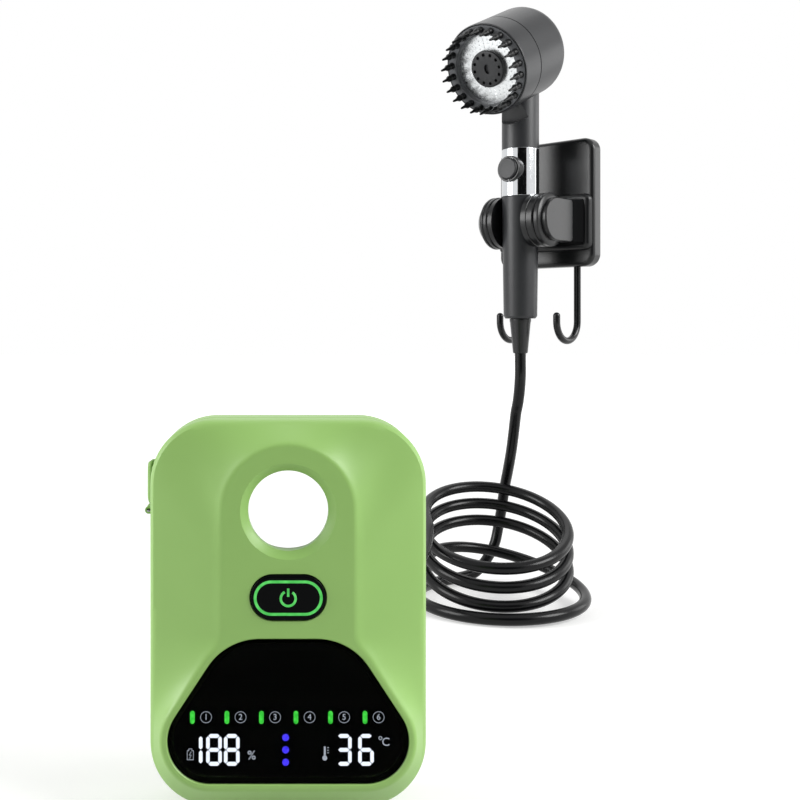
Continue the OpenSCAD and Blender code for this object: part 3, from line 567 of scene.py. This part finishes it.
# The bell rolls over a rounded brow and runs down a straight slope to the case's rim
flat = at_level(face_y, raised_ring(-0.9))
crease = at_level(face_y, raised_ring(0.2))
brow = at_level(face_y + 0.5, raised_ring(0.6))
rim = at_level(-11.4, body_ring(-1.6))
down = between(brow, rim, 0.07)
levels = [at_level(face_y, raised_ring(-3))]
for t in (0, 0.25, 0.5, 0.75, 1):
    levels.append(between(between(flat, crease, t), between(crease, down, t), t))
levels += [between(brow, rim, t) for t in (0.15, 0.3, 0.5, 0.7, 0.85, 0.94)]
side_levels = ((-11.3, -1.55), (-10.5, -0.95), (-9.6, -0.45), (-8.8, -0.15), (-8, 0), (-0.7, 0),
               (-seam_y, -0.3), (-seam_y, -wall), (-8, -wall), (-9.4, -3.4))
levels += [at_level(y, body_ring(grow)) for y, grow in side_levels]
levels += [at_level(-17.6, raised_ring(-1.3))]
front_shell = skin("front_case", levels)


def bore_at(y):
    """Radius of the carrying hole, which opens towards the back."""
    return hole_r + max(0, y - taper_y) * taper


lining_outline = [(18.4, -21.2), (hole_r + wall, taper_y), (bore_at(0) + wall, -seam_y),
                  (12, -seam_y), (12, -21.2), (18.4, -21.2)]
hole_lining = put(turned("hole_lining", lining_outline, 128), along_y(0, hole_z))
collar = block("button_collar", belt(button_ends, 2.6), -20.6, -16.5)
cut(front_shell, hole_lining, collar, way="UNION")
hole_outline = [(0, -23), (19.6, -23), (18.6, face_y), (18.3, -21.8), (hole_r + 0.4, -20.1),
                (hole_r, -19.6), (hole_r, taper_y), (bore_at(1), 1), (0, 1)]
hole_tool = put(turned("hole_tool", hole_outline, 128), along_y(0, hole_z))
seat_levels = ((-23, 1.55), (face_y, 0.55), (-21.6, 0.15), (-19.8, 0.15))
seat_tool = skin("seat_tool", stack(lens_corners, seat_levels))
window_tool = block("window_tool", belt(lens_corners, -2), -23, -15.4)
button_levels = ((-23, 1.5), (face_y, 0.5), (-21.75, 0.3), (-15.4, 0.3))
button_tool = skin("button_tool", stack(button_ends, button_levels))
cut(front_shell, hole_tool, seat_tool, window_tool, button_tool)
crisp(front_shell)
level_front(front_shell)
dress(green_abs, front_shell)
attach(front_shell, "pump")
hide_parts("front_shell")


# Rear shell: the other half of the case, in the same green ABS. The carrying hole runs
# through it, and the intake, the outlet, four screws and the charging port open in it.
rear_y = 24
mouth_r = bore_at(rear_y)
hinge_x, hinge_z = -56.9, 119.2
outside = ((rear_y, -14), (rear_y, -10.5), (23.85, -8.9), (23.45, -7.4), (22.7, -5.8), (21.6, -4.2),
           (20.3, -2.9), (18.8, -1.85), (17, -0.95), (15, -0.35), (13, 0), (6, 0))
inside = ((0.7, 0), (seam_y, -0.3), (seam_y, -wall), (13, -wall), (17.5, -3.7), (20.3, -6.7), (21.8, -11.2))
rear_shell = skin("rear_case", stack(body_corners, outside + inside))
rear_bore = [(bore_at(0), seam_y), (bore_at(9), 9), (bore_at(18), 18), (mouth_r + 0.6, 21.4),
             (mouth_r + 1.2, 23), (mouth_r + 1.8, 23.7), (mouth_r + 2.6, rear_y), (mouth_r + 2.6, 22.6),
             (bore_at(18) + wall, 18), (bore_at(0) + wall, seam_y)]
rear_lining = turned("rear_lining", rear_bore + rear_bore[:1], 128)
rear_lining = put(soften(rear_lining, 0), along_y(0, hole_z))
seat_corners = [(-51.9, 120.9, 0.8), (-51.9, 139.1, 0.8), (-54.2, 139.1, 0.8), (-54.2, 120.9, 0.8)]
port_seat = block("port_seat", belt(seat_corners, 0, 6), 1.2, 11.8)
cut(rear_shell, port_seat, way="UNION")
for y0 in (0.9, 10.3):
    y1 = y0 + 1.8
    knuckle = turned("knuckle", [(0, y0), (1.5, y0), (1.5, y1), (0, y1)], 32)
    put(knuckle, along_y(hinge_x, hinge_z))
    web = block("web", [(-54, 117.7), (-54, 120.7), (hinge_x, 120.7), (hinge_x, 117.7)], y0, y1)
    cut(rear_shell, knuckle, web, way="UNION")
mouth_outline = [(0, 19), (mouth_r + 2.6, 19), (mouth_r + 2.6, 26), (0, 26)]
cut(rear_shell, put(turned("rear_tool", mouth_outline, 128), along_y(0, hole_z)))

# Intake, outlet and probe, then the four screws: x, z, radius and the depth where each starts
openings = [(27, 42, 8.9, 18), (38.5, 68, 6.5, 18), (5, 16, 2.05, 18)]
openings += [(side * 42.5, z, 3.2, 14) for side in (-1, 1) for z in (15.5, 144.5)]
for x, z, r, y in openings:
    cut(rear_shell, put(turned("drill", [(0, y), (r, y), (r, 27), (0, 27)], 48), along_y(x, z)))
cut(rear_shell, block("port_tool", [(-50, 125), (-50, 135), (-57, 135), (-57, 125)], 4.3, 8.7))
rear_shell = join(crisp(rear_shell), rear_lining)
dress(green_abs, rear_shell)
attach(rear_shell, "pump")
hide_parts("rear_shell")


# Seam gasket and the other rubber: a thin ring of black silicone squeezed between the shells,
# a foot glued under the case, and the washers and seals inside.
# Moulded rubber is nearly black and dull, with a slight bloom that lightens it in patches.
black_rubber = moulded("moulded_black_rubber", "#161718", "#222325", 0.62, 0.9, 0.03,
                       {"Specular IOR Level": 0.35})
gasket_levels = ((-seam_y, -2.1), (-seam_y, -0.5), (-0.2, -0.35), (0.2, -0.35),
                 (seam_y, -0.5), (seam_y, -2.1), (-seam_y, -2.1))
seam_gasket = soften(skin("seam_gasket", stack(body_corners, gasket_levels), closed=False), 0)
near, far = bore_at(0) + 0.3, bore_at(0) + 2
gasket_outline = [(near, -seam_y), (far, -seam_y), (far, seam_y), (near, seam_y), (near, -seam_y)]
hole_gasket = put(turned("hole_gasket", gasket_outline), along_y(0, hole_z))
seam_gasket = join(seam_gasket, hole_gasket)
dress(black_rubber, seam_gasket)
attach(seam_gasket, "pump")
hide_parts("shell_gasket")
dress(black_rubber, cad["base_foot"], cad["outlet_washer"], cad["handset_washer"], cad["shaft_seal"])


# Port cover: a soft flap in the case's green that closes the charging socket. It is moulded
# in rubbery plastic with a raised lip for a fingernail, and swings on a pin at its foot.
# Soft plastic is a shade deeper and duller than the hard case beside it.
green_flap = moulded("soft_green_flap", "#83ab5c", "#8ab263", 0.6, 0.7, 0.03, {"Specular IOR Level": 0.3})


def side_ring(outline, x):
    return in_mm((x, y, z) for y, z in outline)


def pad_ring(x, inset):
    """The flap's outline at x, drawn in on all sides, with corners that tighten as it shrinks."""
    r = 2.2 - 0.3 * inset
    y0, y1, z0, z1 = 1.8 + inset + r, 11.2 - inset - r, 121 + inset + r, 139 - inset - r
    return side_ring(belt([(y0, z0, r), (y1, z0, r), (y1, z1, r), (y0, z1, r)], 0, 8), x)


pad_rings = ((-55.4, 0.4), (-55.45, 0), (-56.2, 0), (-56.8, 0.35), (-57.3, 1), (-57.65, 1.9),
             (-57.8, 2.9), (-57.8, 3.3))
port_cover = skin("port_flap", [pad_ring(*r) for r in pad_rings])
barrel = turned("barrel", [(0.85, 3), (1.5, 3), (1.5, 10), (0.85, 10), (0.85, 3)], 32)
put(barrel, along_y(hinge_x, hinge_z))
stem = block("stem", [(-55.4, hinge_z), (-55.4, 123), (-56.6, 123), (-56.6, hinge_z)], 3, 10)
plug = block("plug", [(-53.4, 125.6), (-53.4, 134.4), (-55.5, 134.4), (-55.5, 125.6)], 4.8, 8.2)
soften(plug, 0.4)
lip = block("lip", [(-56.2, 136.4), (-56.2, 138.4), (-57.5, 138.4), (-57.8, 136.4)], 4.4, 8.6)
soften(lip, 0.45)
port_cover = join(soften(port_cover, 0), soften(barrel, 0.15), soften(stem, 0.2), plug, lip)
dress(green_flap, port_cover)
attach(port_cover, "port_cover")
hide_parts("port_cover")


# Display: a smoked acrylic lens let into the bell, over a black panel with lit figures,
# bars, dots and small signs. The lens is cut with a polished, rounded edge.
# Smoked acrylic is clear and dark; smears 22 mm across dull its polish here and there.
smoked_acrylic = clouded("smoked_acrylic", "#2a2b2d", "#303234", (0.0, 0.03), (45, 4),
                         {"Transmission Weight": 1.0, "IOR": 1.07})
lens_levels = ((-19.8, 0), (-21.2, 0), (-21.45, -0.1), (-21.66, -0.3), (-21.77, -0.6), (-21.8, -1.1))
display_lens = soften(skin("display_lens_clear", stack(lens_corners, lens_levels)), 0)
dress(smoked_acrylic, display_lens)
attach(display_lens, "pump")
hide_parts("display_lens")

# Matt black panel behind the lens: printed sheet that hides all but the lit windows.
panel_black = moulded("matt_black_panel", "#050506", "#0a0a0b", 0.8, 0.8, 0.002,
                      {"Specular IOR Level": 0.05})
dress(panel_black, cad["led_panel"])


def lit(name, low, high, strength, cell):
    """A lit window: brighter and dimmer cells show where the small lamps sit behind it."""
    values = {"Roughness": 0.5, "Emission Strength": strength, "Base Color": shade("#101010")}
    made, tree, shader = finish_named(name, values)
    at = add(tree, "ShaderNodeTexCoord").outputs["Object"]
    spread = {"Vector": at, "Scale": 1 / (cell * mm)}
    lamps = add(tree, "ShaderNodeTexVoronoi", spread).outputs["Distance"]
    glow = add(tree, "ShaderNodeMix", {0: lamps, 6: shade(high), 7: shade(low)}, data_type="RGBA")
    tree.links.new(glow.outputs[2], shader.inputs["Emission Color"])
    return made


lit_front, lit_back = -19.7, -19.2
part_middles = {"a": (0, 5.4), "b": (2.35, 2.7), "c": (2.35, -2.7), "d": (0, -5.4),
                "e": (-2.35, -2.7), "f": (-2.35, 2.7), "g": (0, 0)}
half_stroke = 0.68


def segments(x, z, parts):
    """The lit parts of one seven-part figure, each a bar with mitred ends."""
    strips = []
    for part in parts:
        level = part in "adg"
        half = 2.1 if level else 2.45
        inner = half - half_stroke
        bar = [(-half, 0), (-inner, -half_stroke), (inner, -half_stroke), (half, 0),
               (inner, half_stroke), (-inner, half_stroke)]
        mid_x, mid_z = part_middles[part]
        ring = [(x + mid_x + (u if level else v), z + mid_z + (v if level else u)) for u, v in bar]
        strips.append(block("strip", ring, lit_front, lit_back))
    return strips


figure_z = 29.8
figures = ((-36.3, "bc"), (-28.8, "abcdefg"), (-21.9, "abcdefg"), (21.6, "abcdg"), (30.2, "acdefg"))
digits = []
for x, parts in figures:
    digits += segments(x, figure_z, parts)
digits = join(*digits)
digits.name = "lit_digits"
dress(lit("white_lit_window", "#e9edf2", "#ffffff", 40, 1.2), digits)
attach(digits, "pump")
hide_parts("digit_segments")

levels_shown = 6
bar_x, sign_x, sign_z, level_pitch = -37.2, -31.9, 42.4, 13.4
bar_low, bar_high, bar_r = 40.85, 43.95, 0.9
bars = []
for i in range(levels_shown):
    x = bar_x + level_pitch * i
    bars.append(block("bar", belt([(x, bar_low, bar_r), (x, bar_high, bar_r)], 0, 10), lit_front, lit_back))
bars = join(*bars)
bars.name = "lit_bars"
dress(lit("green_lit_window", "#27a82c", "#4fe04a", 40, 1.4), bars)
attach(bars, "pump")
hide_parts("level_bars")
dress(lit("blue_lit_window", "#2a1fd0", "#5a49ff", 40, 0.9), cad["flow_dots"])

line_y, numeral_y = -19.3, -19.28


def fine_line(name, points, width, closed=False):
    """A thin lit line on the panel, through points in x and z."""
    run = [(x * mm, line_y * mm, z * mm) for x, z in points]
    return as_mesh(tube_along(name, run, width * mm, 1, closed))


def numeral(sign, x, z, height):
    """A printed sign stood up on the panel, its middle at x and z."""
    bpy.ops.object.select_all(action="DESELECT")
    bpy.ops.object.text_add()
    made = bpy.context.object
    made.data.body = sign
    made.data.align_x, made.data.align_y = "CENTER", "CENTER"
    made.data.size = height * 1.4 * mm
    made.data.extrude = 0.05 * mm
    stood = Matrix.Translation((x * mm, numeral_y * mm, z * mm)) @ Matrix.Rotation(math.pi / 2, 4, "X")
    return put(as_mesh(made), stood)


def ring_of(x, z, r, count=40, first=0, share=1):
    """Points on a circle, or on a share of one."""
    angles = [first + share * math.tau * k / count for k in range(count)]
    return [(x + r * math.cos(a), z + r * math.sin(a)) for a in angles]


signs = []
for i in range(levels_shown):
    x = sign_x + level_pitch * i
    signs += [fine_line("ring", ring_of(x, sign_z, 2.15), 0.2, True), numeral(str(i + 1), x, sign_z, 2.3)]
signs.append(numeral("%", -14.2, 27.5, 3.5))
signs += [fine_line("degree", ring_of(35.8, 34.3, 0.6, 20), 0.3, True), numeral("C", 37.9, 32.7, 3.2)]
cell_sign = [(-39.2, 25.9), (-36.8, 25.9), (-36.8, 29.4), (-37.4, 29.4),
             (-37.4, 30.1), (-38.6, 30.1), (-38.6, 29.4), (-39.2, 29.4)]
bolt_sign = [(-37.7, 29.0), (-38.4, 27.7), (-37.6, 27.7), (-38.3, 26.4)]
signs += [fine_line("cell", cell_sign, 0.3, True), fine_line("bolt", bolt_sign, 0.32)]
bulb_x = 14.2
signs += [fine_line("stem", [(bulb_x, 27.2), (bulb_x, 31.0)], 0.75)]
signs += [fine_line("bulb", ring_of(bulb_x, 26.6, 0.5, 20), 1.0, True)]
signs += [fine_line("tick", [(15.1, z), (15.8, z)], 0.25) for z in (28.6, 29.6, 30.6)]
signs = join(*signs)
signs.name = "panel_signs"
dress(lit("pale_lit_signs", "#b9bdc4", "#dfe3e8", 22, 0.8), signs)
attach(signs, "pump")


# Power button: an oval cap of polished black ABS that sinks into the bell, with a light
# guide of clear green plastic round its edge and in the on sign at its middle.
# Polished ABS is the deepest black on the pump, with hardly any grain left in it.
black_gloss = moulded("polished_black_abs", "#050607", "#0a0b0c", 0.25, 1.6, 0.004,
                      {"Specular IOR Level": 0.04})
cap_levels = ((-15.2, 0), (face_y, 0), (-22.35, -0.08), (-22.6, -0.35), (-22.7, -0.8), (-22.7, -1.5))
power_cap = soften(skin("power_cap", stack(button_ends, cap_levels, 32)), 0)
flange = soften(block("flange", belt(button_ends, 1.6, 32), -16.3, -15.1), 0.2)
boss = put(turned("boss", [(0, -15.2), (3, -15.2), (3, -12.6), (0, -12.6)], 32), along_y(0, button_z))
power_cap = join(power_cap, flange, soften(boss, 0.2))
dress(black_gloss, power_cap)
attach(power_cap, "power_button")
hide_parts("power_button")

green_guide = lit("green_light_guide", "#2bb03c", "#58dc62", 1.0, 2.5)
guide_ends = both_sides((6.5, button_z, 6.8))
guide_levels = ((-22.4, 0), (-22.71, 0), (-22.75, -0.15), (-22.75, -0.95), (-22.71, -1.1),
                (-22.4, -1.1), (-22.4, 0))
guide = soften(skin("guide", stack(guide_ends, guide_levels, 32), closed=False), 0)
sign_y, sign_flatness, sign_stroke = -22.66, 0.25, 1.1
arc = ring_of(0, button_z - 0.2, 2.85, 49, math.radians(118), 304 / 360)
sign = join(fine_line("arc", arc, sign_stroke),
            fine_line("bar", [(0, button_z + 0.5), (0, button_z + 3.7)], sign_stroke))
onto_cap = Matrix.Translation((0, (sign_y - line_y * sign_flatness) * mm, 0))
sign = put(sign, onto_cap @ Matrix.Scale(sign_flatness, 4, (0, 1, 0)))
guide = join(guide, soften(sign, 0))
guide.name = "power_light"
dress(green_guide, guide)
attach(guide, "power_button")
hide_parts("button_light")


# Works of the pump: cells, boards, motor and volute stand inside the closed case, and the
# intake grille, outlet, hose nut, screws and probe show on its back.
# Moulded nylon and acetal look plain and waxy, the cells' shrunk wrap and the boards' mask glossy,
# and the wall pad's foam dull and pitted.
dark_plastic = moulded("dark_glass_filled_nylon", "#2d3033", "#383b3f", 0.55, 0.7, 0.03)
white_plastic = moulded("natural_white_acetal", "#dfe2e4", "#eceeef", 0.45, 0.9, 0.02)
cell_wrap = moulded("shrunk_blue_pvc_wrap", "#37609c", "#4270b0", 0.3, 2.0, 0.05)
board = moulded("solder_masked_board", "#17502f", "#206a40", 0.35, 1.2, 0.03)
foam = moulded("closed_cell_foam", "#cfcfca", "#dededa", 0.9, 0.6, 0.12)

# Plated steel: bright, with short scratches along x that streak its highlights. They are drawn
# 0.5 mm apart, coarser than real ones.
plated_steel = clouded("nickel_plated_steel", "#b9bdc1", "#d5d8da", (0.2, 0.38), (250, 3),
                       {"Metallic": 1.0}, stretch=(1, 8, 8))

finished = (
    (dark_plastic, ("battery_cradle", "pump_volute", "volute_cover", "button_switch", "pump_hose_nut")),
    (white_plastic, ("impeller", "water_tube", "valve_body", "intake_filter")),
    (plated_steel, ("case_screws", "motor_can", "motor_shaft", "outlet_spigot", "temperature_probe",
                    "charge_socket", "port_pin", "valve_spring", "pivot_bolt")),
    (board, ("display_board", "control_board", "charge_board")),
    (cell_wrap, ("battery_cells",)),
    (green_flap, ("intake_grille",)),
    (foam, ("wall_pad",)),
)
for finish, nodes in finished:
    dress(finish, *(cad[node] for node in nodes))


# Handset grip and nut: a tapered tube of dark grey ABS with a satin lacquer, closed at its
# foot by the black coupling nut that the hose pushes into.
# Satin lacquer is an even charcoal with a broad, soft highlight and next to no grain.
handset_x, handset_y, holder_turn = 168, 330, -46
to_holder = (Matrix.Translation((handset_x * mm, handset_y * mm, 0))
             @ Matrix.Rotation(math.radians(holder_turn), 4, "Z"))
satin_grey = moulded("satin_lacquered_abs", "#242527", "#2a2b2d", 0.38, 1.4, 0.006,
                     {"Specular IOR Level": 0.35})
grip_outline = [(6.6, 199.1), (10.7, 199.1), (11.9, 201), (13.1, 286.8), (10.1, 286.8),
                (8.9, 211), (6.6, 209), (6.6, 199.1)]
grip = put(soften(turned("grip_tube", grip_outline, 128), 0.35), to_holder)
dress(satin_grey, grip)
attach(grip, "handset")
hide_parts("handset_grip")

# Satin black ABS: the mould's fine polish leaves it darker and a little glossier than the grip.
black_satin = moulded("satin_black_abs", "#0b0c0d", "#121315", 0.3, 1.0, 0.01, {"Specular IOR Level": 0.35})
nut_outline = [(4.1, 174), (4.9, 174), (5.3, 174.8), (7.3, 196.4), (7.6, 197), (7.6, 199),
               (6.5, 199), (6.5, 208), (4.1, 208), (4.1, 174)]
nut = put(soften(turned("coupling_nut", nut_outline, 96), 0.25), to_holder)
dress(black_satin, nut)
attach(nut, "handset")
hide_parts("handset_nut")


# Band and stop button: a chromed sleeve between grip and head, with a round push button
# of dark grey plastic that stands in a black collar and stops the water.
# Chrome on ABS mirrors the room, with a haze of fine wipe marks about 5 mm across.
chrome = clouded("chrome_on_abs", "#cfd2d4", "#dcdee0", (0.04, 0.13), (220, 4), {"Metallic": 1.0})
band_low, band_high, stop_z = 287, 321, 306
band_outline = [(11, band_low), (13.3, band_low), (13.3, band_high), (11, band_high), (11, band_low)]
band = put(soften(turned("chrome_band", band_outline, 128), 0.3), to_holder)
dress(chrome, band)
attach(band, "handset")
at_stop = to_holder @ Matrix.Translation((0, 0, stop_z * mm)) @ Matrix.Rotation(math.pi / 2, 4, "X")
collar_outline = [(8, 8), (9.4, 8), (9.4, 14.6), (9, 15.4), (8, 15.4), (8, 8)]
stop_collar = put(soften(turned("stop_collar", collar_outline, 64), 0.15), at_stop)
dress(black_satin, stop_collar)
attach(stop_collar, "handset")
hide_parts("handle_band")
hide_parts("handle_band")

# Dark grey ABS: as moulded, with no lacquer, so its grain shows and its highlights are short.
stop_grey = moulded("dark_grey_abs", "#1e1f21", "#27282a", 0.42, 0.8, 0.015, {"Specular IOR Level": 0.35})
stop_outline = [(0, 0.6), (4.9, 0.6), (4.9, 12.4), (7.7, 12.4), (7.7, 16.3), (7.2, 17.1),
                (6.6, 17.35), (5.9, 17.2), (3, 17.05), (0, 17)]
stop_cap = put(soften(turned("stop_cap", stop_outline, 64), 0.2), at_stop)
dress(stop_grey, stop_cap)
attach(stop_cap, "stop_button")
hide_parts("stop_button")
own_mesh(cad["valve_spring"])


# Spray head: a drum of the same lacquered ABS on a short neck, with a rounded back. The neck
# is cut away under the drum's front, so that the turning face runs clear of it.
face_middle_y, face_middle_z, head_tilt = -42.5, 371.8, 24.5
to_head = (to_holder @ Matrix.Translation((0, face_middle_y * mm, face_middle_z * mm))
           @ Matrix.Rotation(math.radians(head_tilt - 90), 4, "X"))
drum_outline = [(0, 20), (31.6, 20), (32, 20.3), (32, 49), (31.8, 51.4), (31.1, 53.6), (29.9, 55.4),
                (28.2, 56.8), (26.2, 57.7), (24, 58), (0, 58)]
drum = put(soften(turned("head_drum", drum_outline, 160), 0.15), to_head)
neck_outline = [(4.6, band_high), (13.2, band_high), (13.2, 366), (4.6, 366), (4.6, band_high)]
neck = put(turned("neck", neck_outline, 128), to_holder)
front_tool = put(turned("front_tool", [(0, -1), (43, -1), (43, 20.3), (0, 20.3)], 160), to_head)
neck = crisp(cut(neck, front_tool))
drum = join(drum, neck)
dress(satin_grey, drum)
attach(drum, "handset")
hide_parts("head_body")


# Spray face: a lacquered bezel carries a ring of soft black bristles, a polished steel plate
# with fine jets, and a dark hub with twelve larger ones. The whole face turns on the head.
bezel_outline = [(25, 1.2), (30.6, 1.2), (30.8, 0.5), (31.3, 0), (31.75, 0.2), (32, 0.8),
                 (32, 19.3), (31.6, 19.7), (25, 19.7), (25, 1.2)]
bezel = put(soften(turned("face_bezel", bezel_outline, 160), 0.12), to_head)
dress(satin_grey, bezel)
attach(bezel, "spray")
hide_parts("spray_bezel")


def on_circle(r, step, count):
    """A move to one of so many even steps round a circle."""
    a = math.tau * step / count
    return Matrix.Translation((r * math.cos(a) * mm, r * math.sin(a) * mm, 0))


# Soft silicone: deep black and smooth, with a slightly greasy shine. Its base is a paler grey.
soft_black = moulded("soft_black_silicone", "#08090a", "#101112", 0.4, 0.8, 0.01,
                     {"Specular IOR Level": 0.25})
grey_silicone = moulded("grey_silicone", "#4b4c4f", "#55575a", 0.5, 0.8, 0.01,
                        {"Specular IOR Level": 0.35})
bristles, bristle_ring_r = 22, 27.5
bristle_outline = [(0, -14), (0.5, -13.9), (0.75, -13.3), (1.0, -10.4), (1.3, -8.2), (1.85, -7.4),
                   (2.25, -6.4), (2.25, -5.2), (1.95, -4.2), (1.9, -3.4), (2.15, -2.4), (2.4, -1.2),
                   (2.4, 0.6), (0, 0.6)]
brush = []
for i in range(bristles):
    brush.append(put(turned("bristle", bristle_outline, 20), on_circle(bristle_ring_r, i, bristles)))
brush = put(soften(join(*brush), 0), to_head)
brush.name = "soft_bristles"
dress(soft_black, brush)
ring_outline = [(24.1, 0.2), (24.4, -0.2), (24.8, -0.4), (30.1, -0.4), (30.5, -0.2), (30.7, 0.2),
                (30.7, 1.1), (24.6, 1.1), (24.6, 5), (24.1, 5), (24.1, 0.2)]
brush_base = put(soften(turned("brush_base", ring_outline, 128), 0), to_head)
dress(grey_silicone, brush_base)
for piece in (brush, brush_base):
    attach(piece, "spray")
    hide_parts("brush_ring")

# Radius of each ring of fine jets, their count, and the share of a step by which it is turned
jet_rings = ((14.6, 24, 0), (17.2, 30, 0.5), (19.8, 36, 0), (22.4, 40, 0.5))
plate_outline = [(9, 5.3), (12, 4.9), (24, 4.9), (25, 5.3), (25, 6), (9, 6), (9, 5.3)]
spray_plate = turned("jet_plate", plate_outline, 128)
drills = []
for r, count, shift in jet_rings:
    for k in range(count):
        jet = turned("drill", [(0, 4), (0.42, 4), (0.42, 5.6), (0, 5.8)], 8)
        drills.append(put(jet, on_circle(r, k + shift, count)))
spray_plate = put(soften(cut(spray_plate, join(*drills)), 0), to_head)

# Polished stainless: a bright, slightly clouded mirror with specks of water stain, 1.4 mm across.
bright_plate = clouded("polished_stainless", "#b4b7b9", "#dcdedf", (0.22, 0.36), (700, 3),
                       {"Metallic": 1.0}, fine=(700, 3, 0.05))
dress(bright_plate, spray_plate)
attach(spray_plate, "spray")
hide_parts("spray_plate")

hub_jets, hub_ring_r = 12, 10.1
hub = turned("jet_hub", [(0, 1.5), (5, 1.3), (11.6, 1.2), (12.5, 1.5), (13, 2.2), (13, 5), (0, 5)], 96)
drills = []
for k in range(hub_jets):
    jet = turned("drill", [(0, 0), (1.2, 0), (1.2, 3.2), (0, 3.2)], 20)
    drills.append(put(jet, on_circle(hub_ring_r, k, hub_jets)))
middle_jet = turned("drill", [(0, 0), (2.1, 0), (2.1, 3.2), (0, 3.2)], 32)
drills.append(put(middle_jet, Matrix.Scale(1.65, 4, (0, 1, 0))))
hub = put(crisp(cut(hub, join(*drills))), to_head)
dress(stop_grey, hub)
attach(hub, "spray")
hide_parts("spray_hub")


# Wall holder: a plate of satin black ABS that sticks to the wall, with an arm that carries
# the tilting socket, the clamping knob at its free end, and two hooks of coated wire.
axis_z = 269
plate_corners = both_sides((31, 246, 9), (31, 321, 9))
plate_levels = ((32, -5), (32, -3.2), (32.2, -2.1), (32.65, -1.2), (33.4, -0.45), (34.4, -0.05),
                (35, 0), (41.8, 0), (42.6, -0.3), (43, -1), (43, -4))
wall_plate = skin("wall_plate_body", stack(plate_corners, plate_levels, 16))
wall_plate = put(soften(wall_plate, 0), to_holder)
dress(black_satin, wall_plate)
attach(wall_plate, "pump")
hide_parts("wall_plate")

# The arm is a round-ended slab; its root widens to a low shoe on the plate, and a round cheek
# faces the socket. Levels are x and growth for the slab, and y, outer side and half height
# for the root.
arm_corners = [(0, axis_z, 15.3), (17, 256.7, 3), (17, 281.3, 3)]
arm_levels = ((23, -1), (23, 0), (29.8, 0), (30.4, -0.15), (30.8, -0.45), (31, -0.9))
arm = skin("holder_arm_body", [side_ring(belt(arm_corners, grow, 24), x) for x, grow in arm_levels])
root_x = 22.4
root_levels = ((17, 30.2, 14.8), (20, 30.6, 15.3), (24, 32.4, 15.6), (28, 35, 15.9), (32, 36, 16))
root_rings = []
for y, x, half in root_levels:
    low, high = axis_z - half, axis_z + half
    root_rings.append(flat_ring([(root_x, low), (x, low), (x, high), (root_x, high)], y))
root = skin("holder_arm_root", root_rings)
shoe_corners = both_sides((34, 253.6, 5), (34, 284.4, 5))
shoe_levels = ((28, -3.6), (28.1, -2.7), (28.5, -1.8), (29.2, -1), (30.4, -0.3), (32, 0), (33, 0))
shoe = skin("holder_shoe", stack(shoe_corners, shoe_levels, 16))
lying = Matrix.Translation((0, 0, axis_z * mm)) @ Matrix.Rotation(math.pi / 2, 4, "Y")
cheek_outline = [(4, 22.3), (18.2, 22.3), (19, 23.1), (19, 25.6), (18.4, 26.4), (15.2, 27.5),
                 (4, 27.5), (4, 22.3)]
arm_cheek = put(turned("arm_cheek", cheek_outline, 96), lying)

# Painted shade: the root wears a darker, duller copy of the grained black ABS, standing in for
# the shade that falls beside the satin of the arm's end.
painted_shade_black = moulded("black_abs_painted_shade", "#060607", "#0a0b0c", 0.75, 0.8, 0.01,
                      {"Specular IOR Level": 0.05})
dress(black_satin, arm, shoe, arm_cheek)
# The root alone is dressed in the black with painted shade.
dress(painted_shade_black, root)
arm = join(soften(arm, 0), soften(root, 1.2), soften(shoe, 0), soften(arm_cheek, 0.2))
put(arm, to_holder)
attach(arm, "pump")
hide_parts("holder_arm")

socket_outline = [(0, -16), (18.3, -16), (18.3, -12.6), (18.8, -12.2), (19, -11.8), (19, 16.2),
                  (18.5, 16.5), (18.5, 17.3), (19, 17.6), (19, 21.2), (18.4, 22), (0, 22)]
socket = put(turned("socket_barrel", socket_outline, 96), lying)
low, high = axis_z - 30, axis_z + 30
grip_tool = turned("grip_tool", [(0, low), (12.7, low), (13.4, high), (0, high)], 96)
slot_tool = block("slot_tool", [(-12.3, low), (12.3, low), (12.3, high), (-12.3, high)], -30, 0)
bolt_tool = put(turned("bolt_tool", [(0, 14.9), (4.05, 14.9), (4.05, 23), (0, 23)], 32), lying)
pin_tool = put(turned("pin_tool", [(0, -17), (3.05, -17), (3.05, -14.2), (0, -14.2)], 32), lying)
socket = put(crisp(cut(socket, grip_tool, slot_tool, bolt_tool, pin_tool)), to_holder)
dress(black_satin, socket)
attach(socket, "socket")
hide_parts("holder_socket")

knob_outline = [(0, -28), (11.6, -28), (12.6, -27.6), (18.6, -22.2), (19, -21.4), (19, -20.2),
                (18.4, -19.9), (18.4, -19.2), (19, -18.9), (19, -17), (18.4, -16.3), (3, -16.3),
                (3, -14.5), (0, -14.5)]
knob = put(put(soften(turned("clamp_knob", knob_outline, 96), 0.2), lying), to_holder)
dress(black_satin, knob)
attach(knob, "knob")
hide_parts("socket_knob")

# Dipped wire: a thick, glossy black coat that has run a little, so its bump is broad.
coated_wire = moulded("dipped_black_wire", "#08090a", "#101113", 0.22, 2.5, 0.03,
                      {"Specular IOR Level": 0.3})
dress(coated_wire, cad["hook_left"], cad["hook_right"])
